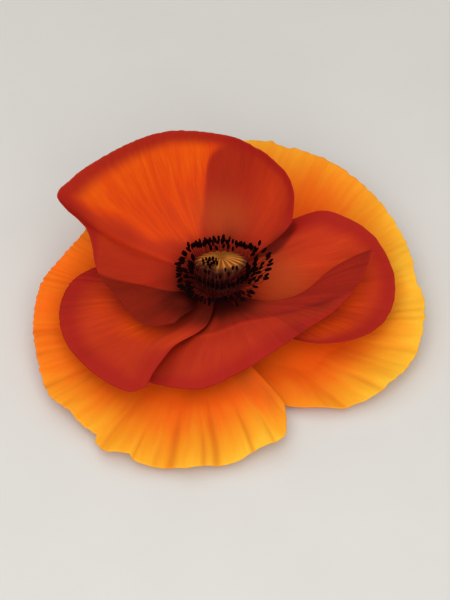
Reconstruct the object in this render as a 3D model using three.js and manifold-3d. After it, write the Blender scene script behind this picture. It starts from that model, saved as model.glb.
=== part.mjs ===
// A poppy flower, picked with only a short stub of its stalk and lying face up.
// It rests on the low bellies of its two broad outer petals.
// Millimetres, +Z up. The flower is modelled round its own upright axis, with azimuth 0
// towards +X and 90 towards +Y, and is then moved so that the origin is at the middle
// of its lowest face.
//
// From below, the pieces are the receptacle with its cut stub, two outer petals, four inner
// petals, the ring of stamens and the pistil with its domed, rayed disc.

import * as THREE from 'three';
import { mergeVertices } from 'three/addons/utils/BufferGeometryUtils.js';
import Module from 'manifold-3d';

// ---------------------------------------------------------------- driving dimensions

const PETAL_THICKNESS = 0.6;
const CLEARANCE = 0.3;

// Petals grow from the receptacle one above another, the lowest 4.4 mm above the surface
// that the flower lies on and the highest 8.7 mm above it.
const CLAW_RADIUS = 3.7;
const HIGHEST_CLAW = 8.7;

// A rib is steered to these shares of its sideways turn a third and two thirds of the way out.
const EARLY_TURN = 0.55;
const LATE_TURN = 0.95;

// Folds begin at this share of the way to the rim and are full at the rim.
const FOLD_START = 0.35;

const RECEPTACLE_RADIUS = 3.15;
const RECEPTACLE_BOTTOM = 3.0;
const STUB_RADIUS = 1.5;
const STUB_BOTTOM = 0.5;

const OVARY_HEIGHT = 7.0;
const DISC_RADIUS = 6.5;
const DISC_RISE = 1.7;
const DISC_LEAN = 28;
const DISC_RAYS = 18;
const RAY_RELIEF = 0.22;

const STAMEN_COUNT = 68;
const ANTHER_LENGTH = 2.0;
const ANTHER_WIDTH = 0.9;
const FILAMENT_WIDTH = 0.4;
const FILAMENT_RISE = 0.8;
const STAMEN_SEED = 4;

// ---------------------------------------------------------------- shared helpers

const radians = THREE.MathUtils.degToRad;
const lerp = THREE.MathUtils.lerp;

// A smooth curve through rows of numbers, each row starting with its place x.
function through(rows, x) {
  let i = 0;
  while (i < rows.length - 2 && x > rows[i + 1][0]) i += 1;
  const here = rows[i];
  const next = rows[i + 1];
  const before = rows[Math.max(i - 1, 0)];
  const after = rows[Math.min(i + 2, rows.length - 1)];
  const span = next[0] - here[0];
  const t = (x - here[0]) / span;
  return here.slice(1).map((value, column) => {
    const k = column + 1;
    const slopeHere = (next[k] - before[k]) / (next[0] - before[0]) * span;
    const slopeNext = (after[k] - here[k]) / (after[0] - here[0]) * span;
    const fromHere = (2 * t ** 3 - 3 * t ** 2 + 1) * value + (t ** 3 - 2 * t ** 2 + t) * slopeHere;
    const fromNext = (3 * t ** 2 - 2 * t ** 3) * next[k] + (t ** 3 - t ** 2) * slopeNext;
    return fromHere + fromNext;
  });
}

// Straight lines between rows [x, value], nothing outside them.
function between(rows, x) {
  const i = rows.findIndex((row) => row[0] >= x);
  if (i < 1) return 0;
  const t = (x - rows[i - 1][0]) / (rows[i][0] - rows[i - 1][0]);
  return lerp(rows[i - 1][1], rows[i][1], t);
}

function polar(radius, azimuth, height) {
  const angle = radians(azimuth);
  return new THREE.Vector3(radius * Math.cos(angle), radius * Math.sin(angle), height);
}

// Seeded random numbers from 0 to 1.
function seededRandom(seed) {
  let state = seed;
  return () => {
    state = (state * 1664525 + 1013904223) % 4294967296;
    return state / 4294967296;
  };
}

function namedMesh(name, geometry, color, roughness) {
  const material = new THREE.MeshStandardMaterial({ color, roughness, metalness: 0 });
  const mesh = new THREE.Mesh(geometry, material);
  mesh.name = name;
  return mesh;
}

// ---------------------------------------------------------------- petals

// A petal is a thin sheet of ribs that fan out from its claw to its rim. Each row of `ribs`
// is one rib: the azimuth, radius and height of its rim end, the slopes in degrees at which
// it leaves the claw and reaches the rim, and how far it swings sideways on its way out.
// `claw` is where the petal's foot begins and ends round the receptacle, and its height.
// `hold` is how far, as shares of its length, a rib keeps its first and its last slope.
// `folds` lifts and lowers the rim in soft pleats, as rows of azimuth and height, and
// `tears` moves it in and out, as rows of azimuth and distance. `edgeBend` draws the last
// side edge back, as rows of the share of its length and degrees.
// `columns` and `rows` are how finely the sheet is divided.

const outerRight = {
  name: 'outer_right',
  color: 0xf08a1e,
  claw: { from: -55, to: 115, height: 4.4 },
  hold: [0.42, 0.36],
  columns: 50,
  rows: 8,
  ribs: [
    [-74, 31, 1.6, -29, 6, -6],
    [-62, 38.6, 2.2, -30, 6, -2],
    [-46, 46.9, 3.4, -31, 8, 0],
    [-30, 51.2, 5.2, -31, 14, 0],
    [-13, 51.9, 7.2, -30, 20, 0],
    [4, 49.7, 8.4, -29, 25, 0],
    [20, 49.4, 9.0, -29, 27, 0],
    [36, 49.9, 9.6, -29, 28, 0],
    [52, 50.2, 10.5, -29, 28, 0],
    [66, 49.9, 11.0, -30, 28, 0],
    [82, 49.0, 11.0, -31, 28, 0],
    [100, 46.0, 9.6, -32, 26, 0],
    [118, 41, 7.6, -30, 22, 2],
    [132, 32, 4.6, -26, 14, 6],
  ],
  folds: [
    [-66, 0], [-56, 0.4], [-46, -0.4], [-35, 0.6], [-25, -0.4], [-13, 0.7], [-4, -0.3], [7, 0.6],
    [19, -0.3], [30, 0.6], [42, -0.2], [53, 0.5], [64, -0.5], [75, 0.6], [88, -0.4], [104, 0.5], [122, 0],
  ],
  tears: [[-1, 0], [-0.4, -0.8], [8, 0], [67, 0], [68, -0.9], [74, 0]],
};

const outerLeft = {
  name: 'outer_left',
  color: 0xf08a1e,
  claw: { from: 122, to: 268, height: 5.3 },
  hold: [0.42, 0.36],
  columns: 52,
  rows: 8,
  ribs: [
    [112, 33, 9.6, -10, 22, -6],
    [126, 41, 11.4, -14, 26, -2],
    [142, 42, 12.0, -24, 26, 0],
    [156, 38.4, 11.2, -29, 25, 0],
    [168, 40.8, 10.2, -31, 24, 0],
    [180, 45.2, 8.8, -32, 20, 0],
    [194, 47.9, 7.4, -32, 16, 0],
    [208, 50.5, 6.2, -32, 12, 0],
    [222, 53.2, 4.8, -31, 6, 0],
    [236, 54.4, 3.8, -31, 4, 0],
    [250, 54.5, 3.2, -31, 2, 0],
    [264, 52.9, 3.1, -30, 0, 0],
    [276, 50.0, 3.6, -25, 2, 1],
    [283, 48.0, 4.4, -18, 3, 2],
    [288.9, 46.8, 4.9, -13, 3, 2],
    [290.2, 45.2, 4.9, -12, 3, 2],
    [294, 37.6, 4.6, -9, 3, 2],
  ],
  folds: [
    [124, 0], [138, 0.5], [150, -0.4], [161, 0.5], [172, -0.4], [183, 0.6], [194, -0.4], [204, 0.6],
    [214, -0.3], [224, 0.4], [236, -0.5], [245, 0.7], [254, -0.6], [263, 0.7], [272, -0.5],
    [281, 0.5], [288, 0],
  ],
  tears: [
    [219, 0], [225, -1.9], [231, -1.8], [235.4, -2.4], [236.2, -0.8], [238, 0.2], [241, 0.3],
    [246.2, -1.4], [247.2, -0.4], [252, -0.1], [257, -0.8], [261, 0], [266, -0.8], [271, 0],
  ],
};

const innerRight = {
  name: 'inner_right',
  color: 0xb8321a,
  claw: { from: -37, to: 62, height: 6.0 },
  hold: [0.4, 0.4],
  columns: 26,
  rows: 8,
  ribs: [
    [-45, 23, 7.2, 0, 2, 4],
    [-37, 31, 7.6, 0, 4, 0],
    [-26, 38.8, 8.4, 0, 6, 0],
    [-14, 43.2, 10.2, 1, 12, 0],
    [-4, 43.4, 13.0, 3, 20, 0],
    [6, 41.4, 15.2, 7, 26, 0],
    [14.5, 39, 16.6, 11, 30, 0],
    [24, 34.6, 17.8, 15, 35, 0],
    [32, 29.8, 18.4, 17, 40, 0],
    [37, 22.5, 17.6, 19, 44, -2],
  ],
  folds: [[-40, 0], [-30, 0.3], [-20, -0.3], [-8, 0.3], [4, -0.2], [14, 0.2], [26, 0]],
  tears: [],
};

const innerFront = {
  name: 'inner_front',
  color: 0xa82818,
  claw: { from: 254, to: 320, height: 6.8 },
  hold: [0.5, 0.5],
  columns: 32,
  rows: 9,
  ribs: [
    [236, 34, 5.4, 6, -10, 0],
    [249, 33.0, 5.9, 10, -24, 0],
    [262, 31.6, 6.0, 16, -36, 0],
    [276, 28.2, 6.8, 20, -38, 0],
    [291, 26.3, 8.2, 23, -32, 0],
    [306, 26.0, 10.0, 25, -18, 0],
    [321, 27.4, 12.0, 26, 0, 0],
    [336, 31.4, 14.4, 26, 12, 0],
    [350, 34.9, 17.0, 26, 24, 0],
    [363, 37.4, 19.0, 26, 34, -8],
  ],
  edgeBend: [[0, 0], [0.2, 6], [0.36, 10], [0.52, 3], [0.68, -3], [0.85, -2.5], [1, 0]],
  folds: [[242, 0], [253, 0.2], [263, -0.2], [274, 0.3], [286, -0.2], [298, 0.2], [310, 0]],
  tears: [],
};

const innerLeft = {
  name: 'inner_left',
  color: 0xb8321a,
  claw: { from: 176, to: 252, height: 7.7 },
  hold: [0.4, 0.4],
  columns: 26,
  rows: 8,
  ribs: [
    [165, 25, 11.6, 10, 16, 0],
    [174, 30.6, 11.7, 9, 12, 0],
    [183, 37.0, 11.9, 8, 8, 0],
    [194, 40.8, 12.1, 7, 6, 0],
    [204, 42.7, 11.1, 7, 2, 0],
    [214, 42.9, 10.3, 8, -2, 0],
    [224, 42.4, 9.5, 10, -6, 0],
    [232, 41.5, 8.9, 14, -10, 0],
    [238, 40.3, 8.7, 17, -13, 0],
    [242, 37.4, 9.3, 20, -12, 24],
  ],
  edgeBend: [[0, 0], [0.34, 0], [0.6, 6.5], [0.82, 3], [1, 0]],
  folds: [[170, 0], [180, 0.2], [190, -0.3], [201, 0.3], [211, -0.3], [221, 0.3], [231, 0]],
  tears: [],
};

const innerBack = {
  name: 'inner_back',
  color: 0xd85014,
  claw: { from: 50, to: 205, height: HIGHEST_CLAW },
  hold: [0.4, 0.4],
  columns: 44,
  rows: 10,
  ribs: [
    [30, 20.6, 20, 18, 55, 0],
    [38, 22.8, 28, 16, 75, 0],
    [53, 23.2, 33, 14, 85, 0],
    [78, 23.6, 36, 12, 88, 0],
    [107, 25.7, 38, 12, 85, 0],
    [132, 29.5, 38, 12, 78, 0],
    [151, 33.5, 37, 12, 70, 0],
    [164, 38.2, 35, 12, 60, 0],
    [171, 40.0, 33, 12, 54, 0],
    [177, 32.9, 26.8, 13, 46, 0],
    [192, 30.7, 20.2, 14, 33, 0],
    [207, 27.8, 17.6, 14, 22, 0],
    [227, 26.2, 15.4, 12, 14, 0],
    [238, 20.5, 14.4, 11, 10, 26],
  ],
  folds: [[40, 0], [60, 0.3], [80, -0.3], [100, 0.2], [120, -0.3], [140, 0.3], [160, 0]],
  tears: [[166, 0], [171, 0.2], [175, -0.2], [180, 0]],
};

// A point of a petal's middle surface, `out` of the way from claw (0) to rim (1).
function petalPoint(petal, azimuth, out) {
  const { claw, ribs, hold } = petal;
  const [rimRadius, rimHeight, leave, arrive, swing] = through(ribs, azimuth);
  const first = ribs[0][0];
  const last = ribs[ribs.length - 1][0];
  const clawAzimuth = lerp(claw.from, claw.to, (azimuth - first) / (last - first));
  const length = Math.hypot(rimRadius - CLAW_RADIUS, rimHeight - claw.height);
  const outward = length * hold[0];
  const inward = length * hold[1];
  const rib = new THREE.CubicBezierCurve3(
    new THREE.Vector3(CLAW_RADIUS, clawAzimuth, claw.height),
    new THREE.Vector3(
      CLAW_RADIUS + outward * Math.cos(radians(leave)),
      lerp(clawAzimuth, azimuth, EARLY_TURN) + swing,
      claw.height + outward * Math.sin(radians(leave)),
    ),
    new THREE.Vector3(
      rimRadius - inward * Math.cos(radians(arrive)),
      lerp(clawAzimuth, azimuth, LATE_TURN),
      rimHeight - inward * Math.sin(radians(arrive)),
    ),
    new THREE.Vector3(rimRadius, azimuth, rimHeight),
  );
  const point = rib.getPoint(out);
  const bend = petal.edgeBend ? through(petal.edgeBend, out)[0] : 0;
  const turn = point.y - bend * THREE.MathUtils.smoothstep(azimuth, last - 22, last);
  const nearRim = THREE.MathUtils.smoothstep(out, FOLD_START, 1);
  const steep = Math.sin(radians(arrive));
  const fold = foldAt(petal, azimuth) * nearRim;
  const radius = point.x + between(petal.tears, azimuth) * nearRim ** 3 - fold * steep;
  const height = point.z + fold * Math.sqrt(1 - steep ** 2);
  const lowest = PETAL_THICKNESS / 2;
  return polar(radius, turn, Math.max(height, lowest));
}

// How far the folds lift the rim at an azimuth; nothing before the first or after the last.
function foldAt(petal, azimuth) {
  const { folds } = petal;
  const outside = azimuth < folds[0][0] || azimuth > folds[folds.length - 1][0];
  return outside ? 0 : through(folds, azimuth)[0];
}

// The direction across the petal's thickness, upwards or towards the flower's axis.
function petalNormal(petal, azimuth, out) {
  const middle = petalPoint(petal, azimuth, out);
  if (middle.z <= PETAL_THICKNESS / 2) return new THREE.Vector3(0, 0, 1);
  const step = 0.004;
  const first = petal.ribs[0][0];
  const last = petal.ribs[petal.ribs.length - 1][0];
  const turn = step * (last - first);
  const along = petalPoint(petal, azimuth, Math.min(out + step, 1));
  along.sub(petalPoint(petal, azimuth, Math.max(out - step, 0)));
  const across = petalPoint(petal, Math.min(azimuth + turn, last), out);
  across.sub(petalPoint(petal, Math.max(azimuth - turn, first), out));
  return along.cross(across).normalize();
}

// The azimuths at which a petal has ribs: evenly spread, and at every end of a tear.
function ribAzimuths(petal) {
  const first = petal.ribs[0][0];
  const last = petal.ribs[petal.ribs.length - 1][0];
  const even = Array.from({ length: petal.columns + 1 }, (_, i) => lerp(first, last, i / petal.columns));
  const torn = petal.tears.map((row) => row[0]);
  const closest = 0.4 * (last - first) / petal.columns;
  const kept = even.filter((azimuth) => torn.every((place) => Math.abs(place - azimuth) > closest));
  const ends = [first, last].filter((azimuth) => !kept.includes(azimuth));
  return [...kept, ...torn, ...ends].sort((a, b) => a - b);
}

// The closed sheet: an upper and a lower face split alike, and a wall round their edge.
function petalGeometry(petal) {
  const azimuths = ribAzimuths(petal);
  const columns = azimuths.length;
  const rows = petal.rows + 1;
  const positions = [];
  for (const side of [1, -1]) {
    for (const azimuth of azimuths) {
      for (let row = 0; row < rows; row += 1) {
        const out = row / petal.rows;
        const normal = petalNormal(petal, azimuth, out);
        const point = petalPoint(petal, azimuth, out);
        point.addScaledVector(normal, side * PETAL_THICKNESS / 2);
        positions.push(...point.toArray());
      }
    }
  }
  const upper = (column, row) => column * rows + row;
  const lower = (column, row) => (columns + column) * rows + row;
  const index = [];
  for (let c = 0; c < columns - 1; c += 1) {
    for (let r = 0; r < rows - 1; r += 1) {
      index.push(upper(c, r), upper(c, r + 1), upper(c + 1, r + 1));
      index.push(upper(c, r), upper(c + 1, r + 1), upper(c + 1, r));
      index.push(lower(c, r), lower(c + 1, r + 1), lower(c, r + 1));
      index.push(lower(c, r), lower(c + 1, r), lower(c + 1, r + 1));
    }
  }
  const edge = [];
  for (let c = 0; c < columns - 1; c += 1) edge.push([c, 0]);
  for (let r = 0; r < rows - 1; r += 1) edge.push([columns - 1, r]);
  for (let c = columns - 1; c > 0; c -= 1) edge.push([c, rows - 1]);
  for (let r = rows - 1; r > 0; r -= 1) edge.push([0, r]);
  edge.forEach((from, i) => {
    const to = edge[(i + 1) % edge.length];
    index.push(upper(...from), upper(...to), lower(...to));
    index.push(upper(...from), lower(...to), lower(...from));
  });
  const geometry = new THREE.BufferGeometry();
  geometry.setAttribute('position', new THREE.Float32BufferAttribute(positions, 3));
  geometry.setIndex(index);
  return geometry;
}

function petalMesh(petal) {
  return namedMesh(petal.name, petalGeometry(petal), petal.color, 0.6);
}

// ---------------------------------------------------------------- receptacle and pistil

// A profile of [radius, height] rows turned round the upright axis.
function turned(profile, segments) {
  const points = profile.map(([radius, height]) => new THREE.Vector2(radius, height));
  const geometry = new THREE.LatheGeometry(points, segments);
  geometry.rotateX(Math.PI / 2);
  geometry.deleteAttribute('normal');
  geometry.deleteAttribute('uv');
  return mergeVertices(geometry, 1e-4);
}

const receptacleTop = HIGHEST_CLAW + PETAL_THICKNESS;

// The swollen end of the stalk, which the petals and stamens grow from, and its cut stub.
function receptacleMesh() {
  const profile = [
    [0, STUB_BOTTOM],
    [STUB_RADIUS, STUB_BOTTOM],
    [STUB_RADIUS, RECEPTACLE_BOTTOM - 0.9],
    [STUB_RADIUS + 0.5, RECEPTACLE_BOTTOM - 0.2],
    [RECEPTACLE_RADIUS, RECEPTACLE_BOTTOM + 0.8],
    [RECEPTACLE_RADIUS, receptacleTop],
    [0, receptacleTop],
  ];
  return namedMesh('receptacle', turned(profile, 28), 0x7d8a45, 0.7);
}

const pistilBottom = receptacleTop + 2 * CLEARANCE;
const discRim = pistilBottom + OVARY_HEIGHT;

// The ovary, and on it the domed disc with its stigmatic rays. The disc leans back.
function pistilMesh() {
  const profile = [
    [0, pistilBottom],
    [2.2, pistilBottom],
    [2.8, pistilBottom + 0.9],
    [4.0, pistilBottom + 2.2],
    [4.8, discRim - 3.4],
    [5.75, discRim - 1.4],
    [DISC_RADIUS - 0.05, discRim - 0.4],
    [DISC_RADIUS, discRim],
    [DISC_RADIUS * 0.86, discRim + DISC_RISE * 0.32],
    [DISC_RADIUS * 0.62, discRim + DISC_RISE * 0.66],
    [DISC_RADIUS * 0.32, discRim + DISC_RISE * 0.93],
    [DISC_RADIUS * 0.12, discRim + DISC_RISE],
    [0, discRim + DISC_RISE],
  ];
  const geometry = turned(profile, DISC_RAYS * 2);
  const place = geometry.getAttribute('position');
  for (let i = 0; i < place.count; i += 1) {
    const radius = Math.hypot(place.getX(i), place.getY(i));
    const onDisc = place.getZ(i) > discRim - 0.55 && radius > 1;
    const ray = Math.cos(Math.atan2(place.getY(i), place.getX(i)) * DISC_RAYS);
    const relief = onDisc ? RAY_RELIEF * (ray - 1) / 2 : 0;
    const share = (place.getZ(i) - pistilBottom) / (discRim - pistilBottom);
    const lean = -place.getY(i) * Math.tan(radians(DISC_LEAN)) * Math.min(share, 1);
    place.setZ(i, place.getZ(i) + relief + lean);
  }
  return namedMesh('pistil', geometry, 0xa87a30, 0.75);
}

// ---------------------------------------------------------------- stamens

const wasm = await Module();
wasm.setup();

function toSolid(geometry) {
  const bare = geometry.clone();
  bare.deleteAttribute('normal');
  bare.deleteAttribute('uv');
  const merged = mergeVertices(bare, 1e-5);
  const vertProperties = new Float32Array(merged.getAttribute('position').array);
  const triVerts = new Uint32Array(merged.getIndex().array);
  return new wasm.Manifold(new wasm.Mesh({ numProp: 3, vertProperties, triVerts }));
}

function toGeometry(solid) {
  const mesh = solid.getMesh();
  const geometry = new THREE.BufferGeometry();
  geometry.setAttribute('position', new THREE.BufferAttribute(mesh.vertProperties, 3));
  geometry.setIndex(new THREE.BufferAttribute(mesh.triVerts, 1));
  return geometry;
}

// The ring round the ovary's foot that every filament grows from.
const COLLAR_INNER = RECEPTACLE_RADIUS + 0.2;
const COLLAR_OUTER = COLLAR_INNER + 1.0;
const COLLAR_BOTTOM = receptacleTop + CLEARANCE;
const COLLAR_TOP = COLLAR_BOTTOM + 0.8;

function collarGeometry() {
  return turned([
    [COLLAR_INNER, COLLAR_BOTTOM],
    [COLLAR_OUTER, COLLAR_BOTTOM],
    [COLLAR_OUTER, COLLAR_TOP],
    [COLLAR_INNER, COLLAR_TOP],
    [COLLAR_INNER, COLLAR_BOTTOM],
  ], 24);
}

// A slim three-sided filament that bends out past the disc's edge and then up to its tip.
function filamentGeometry(foot, bend, tip) {
  const section = new THREE.Shape();
  for (let corner = 0; corner < 3; corner += 1) {
    const angle = radians(120 * corner);
    const across = FILAMENT_WIDTH / Math.sqrt(3);
    const place = [across * Math.cos(angle), across * Math.sin(angle)];
    if (corner === 0) section.moveTo(...place);
    else section.lineTo(...place);
  }
  const path = new THREE.QuadraticBezierCurve3(foot, bend, tip);
  return new THREE.ExtrudeGeometry(section, { extrudePath: path, steps: 2 });
}

// A long anther whose axis follows `along`, leant by a turn of its own.
function antherGeometry(tip, along, lean) {
  const upright = new THREE.Quaternion().setFromUnitVectors(new THREE.Vector3(0, 1, 0), along);
  const anther = new THREE.OctahedronGeometry(0.5);
  anther.scale(ANTHER_WIDTH, ANTHER_LENGTH, ANTHER_WIDTH);
  anther.applyQuaternion(lean);
  anther.applyQuaternion(upright);
  anther.translate(...tip.toArray());
  return anther;
}

// Anthers stand in four rings that widen outwards. Those at the back stand higher and a
// little closer in than those at the front, most of all in the outer rings.
const STAMEN_RINGS = [
  { share: 0.2, start: 0, radius: 8.4, height: 14.7, backRise: 0.2 },
  { share: 0.24, start: 11, radius: 9.3, height: 14.4, backRise: 0.6 },
  { share: 0.27, start: 4, radius: 10.2, height: 14.1, backRise: 0.9 },
  { share: 0.29, start: 15, radius: 11.2, height: 14.0, backRise: 1.2 },
];

function stamensMesh() {
  const random = seededRandom(STAMEN_SEED);
  const scatter = (reach) => reach * (2 * random() - 1);
  let fused = toSolid(collarGeometry());
  for (const ring of STAMEN_RINGS) {
    const count = Math.round(STAMEN_COUNT * ring.share);
    for (let i = 0; i < count; i += 1) {
      const azimuth = 360 * (i + scatter(0.3)) / count + ring.start;
      const backward = Math.sin(radians(azimuth));
      const sideways = Math.cos(radians(azimuth));
      const radius = ring.radius - 0.7 * backward + 0.5 * sideways + scatter(0.35);
      const height = ring.height + ring.backRise * backward + scatter(0.4);
      const foot = polar(COLLAR_OUTER - 0.4, azimuth, COLLAR_TOP - 0.3);
      const bend = polar(Math.max(radius - 0.4, DISC_RADIUS + 1.7), azimuth, COLLAR_TOP + FILAMENT_RISE);
      const tip = polar(radius, azimuth + scatter(4), height);
      const along = new THREE.Vector3().subVectors(tip, bend).normalize();
      const tilt = new THREE.Euler(radians(scatter(30)), 0, radians(scatter(30)));
      const lean = new THREE.Quaternion().setFromEuler(tilt);
      fused = fused.add(toSolid(filamentGeometry(foot, bend, tip)));
      fused = fused.add(toSolid(antherGeometry(tip, along, lean)));
    }
  }
  return namedMesh('stamens', toGeometry(fused), 0x2a0a12, 0.65);
}

// ---------------------------------------------------------------- the flower

const petals = [outerRight, outerLeft, innerRight, innerFront, innerLeft, innerBack];

const flower = new THREE.Group();
flower.add(...petals.map(petalMesh));
flower.add(receptacleMesh(), pistilMesh(), stamensMesh());

const box = new THREE.Box3().setFromObject(flower, true);
const centre = box.getCenter(new THREE.Vector3());
flower.position.set(-centre.x, -centre.y, -box.min.z);

export default flower;
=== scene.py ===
# %% [markdown]
# # A picked poppy flower
# The flower is a stub of hairy stalk, a receptacle, six papery petals, a ring of dark
# stamens and a seed head with a velvety, rayed disc. The plain solids come first, as a
# frame that fixes every size and place. Each one is then given a finer piece that
# keeps its form, so the flower can be looked at from any side.

# %% Load the frame
import math

import bpy
import numpy as np
from mathutils import Euler, Matrix, Quaternion, Vector


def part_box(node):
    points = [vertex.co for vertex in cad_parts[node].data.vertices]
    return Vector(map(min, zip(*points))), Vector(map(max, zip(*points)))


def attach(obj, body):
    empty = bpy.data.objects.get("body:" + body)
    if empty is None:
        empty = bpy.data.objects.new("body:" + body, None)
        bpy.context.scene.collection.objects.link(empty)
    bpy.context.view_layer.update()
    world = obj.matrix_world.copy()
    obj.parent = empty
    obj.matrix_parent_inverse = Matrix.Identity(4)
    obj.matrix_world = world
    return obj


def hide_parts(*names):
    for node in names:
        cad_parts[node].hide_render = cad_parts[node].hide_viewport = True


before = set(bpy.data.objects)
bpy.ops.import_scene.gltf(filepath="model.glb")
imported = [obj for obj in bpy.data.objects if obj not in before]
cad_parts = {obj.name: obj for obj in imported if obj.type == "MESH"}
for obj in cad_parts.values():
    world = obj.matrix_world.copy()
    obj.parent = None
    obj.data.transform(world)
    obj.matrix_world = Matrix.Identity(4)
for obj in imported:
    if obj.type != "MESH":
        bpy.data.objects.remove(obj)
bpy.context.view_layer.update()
bpy.ops.object.select_all(action="DESELECT")
print("nodes:", sorted(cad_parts))

# %% [markdown]
# ## Where the flower stands
# Everything on a flower turns round one upright axis. The receptacle is turned round
# it, so the middle of its box gives the axis. The tables below are in millimetres
# and degrees, because petals are easier to think of that way, and are scaled once.

# %% Axis and units
MM = 0.001
low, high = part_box("receptacle")
axis = np.array([(low.x + high.x) / 2, (low.y + high.y) / 2, 0.0])
print("axis at", (axis / MM).round(3), "mm")

# %% [markdown]
# ## Camera
# The flower is looked down on at a steep slant, so both the open heart and the
# upright back petal show. A long lens keeps the far rim from shrinking.

# %% Camera
CAMERA_ELEVATION = 50
CAMERA_DISTANCE = 425 * MM
CAMERA_AIM = (1.0, 0.0, 2.0)
camera_target = Vector(axis + np.array(CAMERA_AIM) * MM)
slant = math.radians(CAMERA_ELEVATION)
camera_data = bpy.data.cameras.new("camera")
camera_data.lens = 100
camera_data.sensor_width = 36
camera_data.clip_start = 0.01
camera = bpy.data.objects.new("camera", camera_data)
bpy.context.scene.collection.objects.link(camera)
camera.location = camera_target + CAMERA_DISTANCE * Vector((0, -math.cos(slant), math.sin(slant)))
camera.rotation_euler = (math.pi / 2 - slant, 0, 0)
bpy.context.scene.camera = camera
print("camera at", [round(v, 4) for v in camera.location])

# %% [markdown]
# ## Curves through a few rows
# A petal is steered by a handful of ribs. Between two ribs each number runs on a
# smooth curve that passes through its rows, so few rows give one unbroken sheet.
# Tears, and values that need no such care, run on straight lines between their rows. Ribs
# and stamens are Bezier curves, a blend of four points by the weights of curve_weights.

# %% Curves through rows
def through(rows, x):
    rows = np.array(rows, float)
    x = np.asarray(x, float)
    i = np.clip(np.searchsorted(rows[:, 0], x, side="left") - 1, 0, len(rows) - 2)
    before, here = rows[np.maximum(i - 1, 0)], rows[i]
    there, beyond = rows[i + 1], rows[np.minimum(i + 2, len(rows) - 1)]
    span = there[..., :1] - here[..., :1]
    t = (x[..., None] - here[..., :1]) / span
    slope_here = (there - before) / (there[..., :1] - before[..., :1]) * span
    slope_there = (beyond - here) / (beyond[..., :1] - here[..., :1]) * span
    value = (2 * t**3 - 3 * t**2 + 1) * here + (t**3 - 2 * t**2 + t) * slope_here
    value += (3 * t**2 - 2 * t**3) * there + (t**3 - t**2) * slope_there
    return value[..., 1:]


def between(rows, x):
    places, values = zip(*rows)
    return np.interp(x, places, values)


def smoothstep(x, low, high):
    t = np.clip((np.asarray(x, float) - low) / (high - low), 0, 1)
    return t * t * (3 - 2 * t)


def bell(x, width):
    return np.exp(-(x / width) ** 2)


def mix(a, b, share):
    return a + (b - a) * share


def curve_weights(t):
    return (1 - t)**3, 3 * t * (1 - t)**2, 3 * t**2 * (1 - t), t**3


print("a curve through 0, 2 and 1:", through([(0, 0), (1, 2), (2, 1)], np.arange(0, 2.1, 0.5))[:, 0])

# %% [markdown]
# ## The two outer petals
# Poppy petals come in two whorls. The outer pair is broad and hangs low, so it carries
# the flower where it lies. It could be sculpted by hand, but rows of numbers are easier to
# read and mend. A row of ribs is the azimuth, radius and height of its rim end, the slopes
# at which it leaves the claw and reaches the rim, and how far it swings sideways. Folds
# lift and lower the rim, and tears move it in and out. A pleat is a narrow valley: its
# azimuth, width, start along the petal and depth. Pale rows say where along the petal it
# starts to turn yellow, and how much. The right petal spreads flat behind the heart.

# %% Outer right petal
OUTER_RIGHT = dict(
    name="outer_right", claw=(-55, 115), claw_height=4.4, hold=(0.42, 0.36),
    ribs=[
        (-74, 31, 1.6, -29, 6, -6), (-62, 38.6, 2.2, -30, 6, -2), (-46, 46.9, 3.4, -31, 8, 0),
        (-30, 51.2, 5.2, -31, 14, 0), (-13, 51.9, 7.2, -30, 20, 0), (4, 49.7, 8.4, -29, 25, 0),
        (20, 49.4, 9.0, -29, 27, 0), (36, 49.9, 9.6, -29, 28, 0), (52, 50.2, 10.5, -29, 28, 0),
        (66, 49.9, 11.0, -30, 28, 0), (82, 49.0, 11.0, -31, 28, 0), (100, 46.0, 9.6, -32, 26, 0),
        (118, 41, 7.6, -30, 22, 2), (132, 32, 4.6, -26, 14, 6),
    ],
    folds=[
        (-66, 0), (-56, 0.4), (-46, -0.4), (-35, 0.6), (-25, -0.4), (-13, 0.7), (-4, -0.3),
        (7, 0.6), (19, -0.3), (30, 0.6), (42, -0.2), (53, 0.5), (64, -0.5), (75, 0.6),
        (88, -0.4), (104, 0.5), (122, 0),
    ],
    tears=[(-1, 0), (-0.4, -0.8), (8, 0), (67, 0), (68, -0.9), (74, 0)],
    columns=320, rows=84, seed=11, crinkle=0.2,
    pleats=[
        (-49, 1.2, 0.66, 0.3), (-38, 1.6, 0.6, 0.35), (-22, 1.4, 0.62, 0.3), (16, 1.2, 0.8, 0.2),
        (47, 1.2, 0.8, 0.2),
    ],
    pale=[
        (-74, 0.75, 0.5), (-62, 0.7, 0.6), (-47, 0.64, 0.85), (-37, 0.6, 1.0), (-25, 0.6, 1.0),
        (-12, 0.6, 1.05), (8, 0.58, 1.05), (20, 0.6, 1.0), (34, 0.66, 0.95), (46, 0.72, 0.9),
        (60, 0.68, 0.85), (80, 0.6, 0.85), (132, 0.6, 0.8),
    ],
)
print(OUTER_RIGHT["name"], "has", len(OUTER_RIGHT["ribs"]), "ribs")
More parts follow.
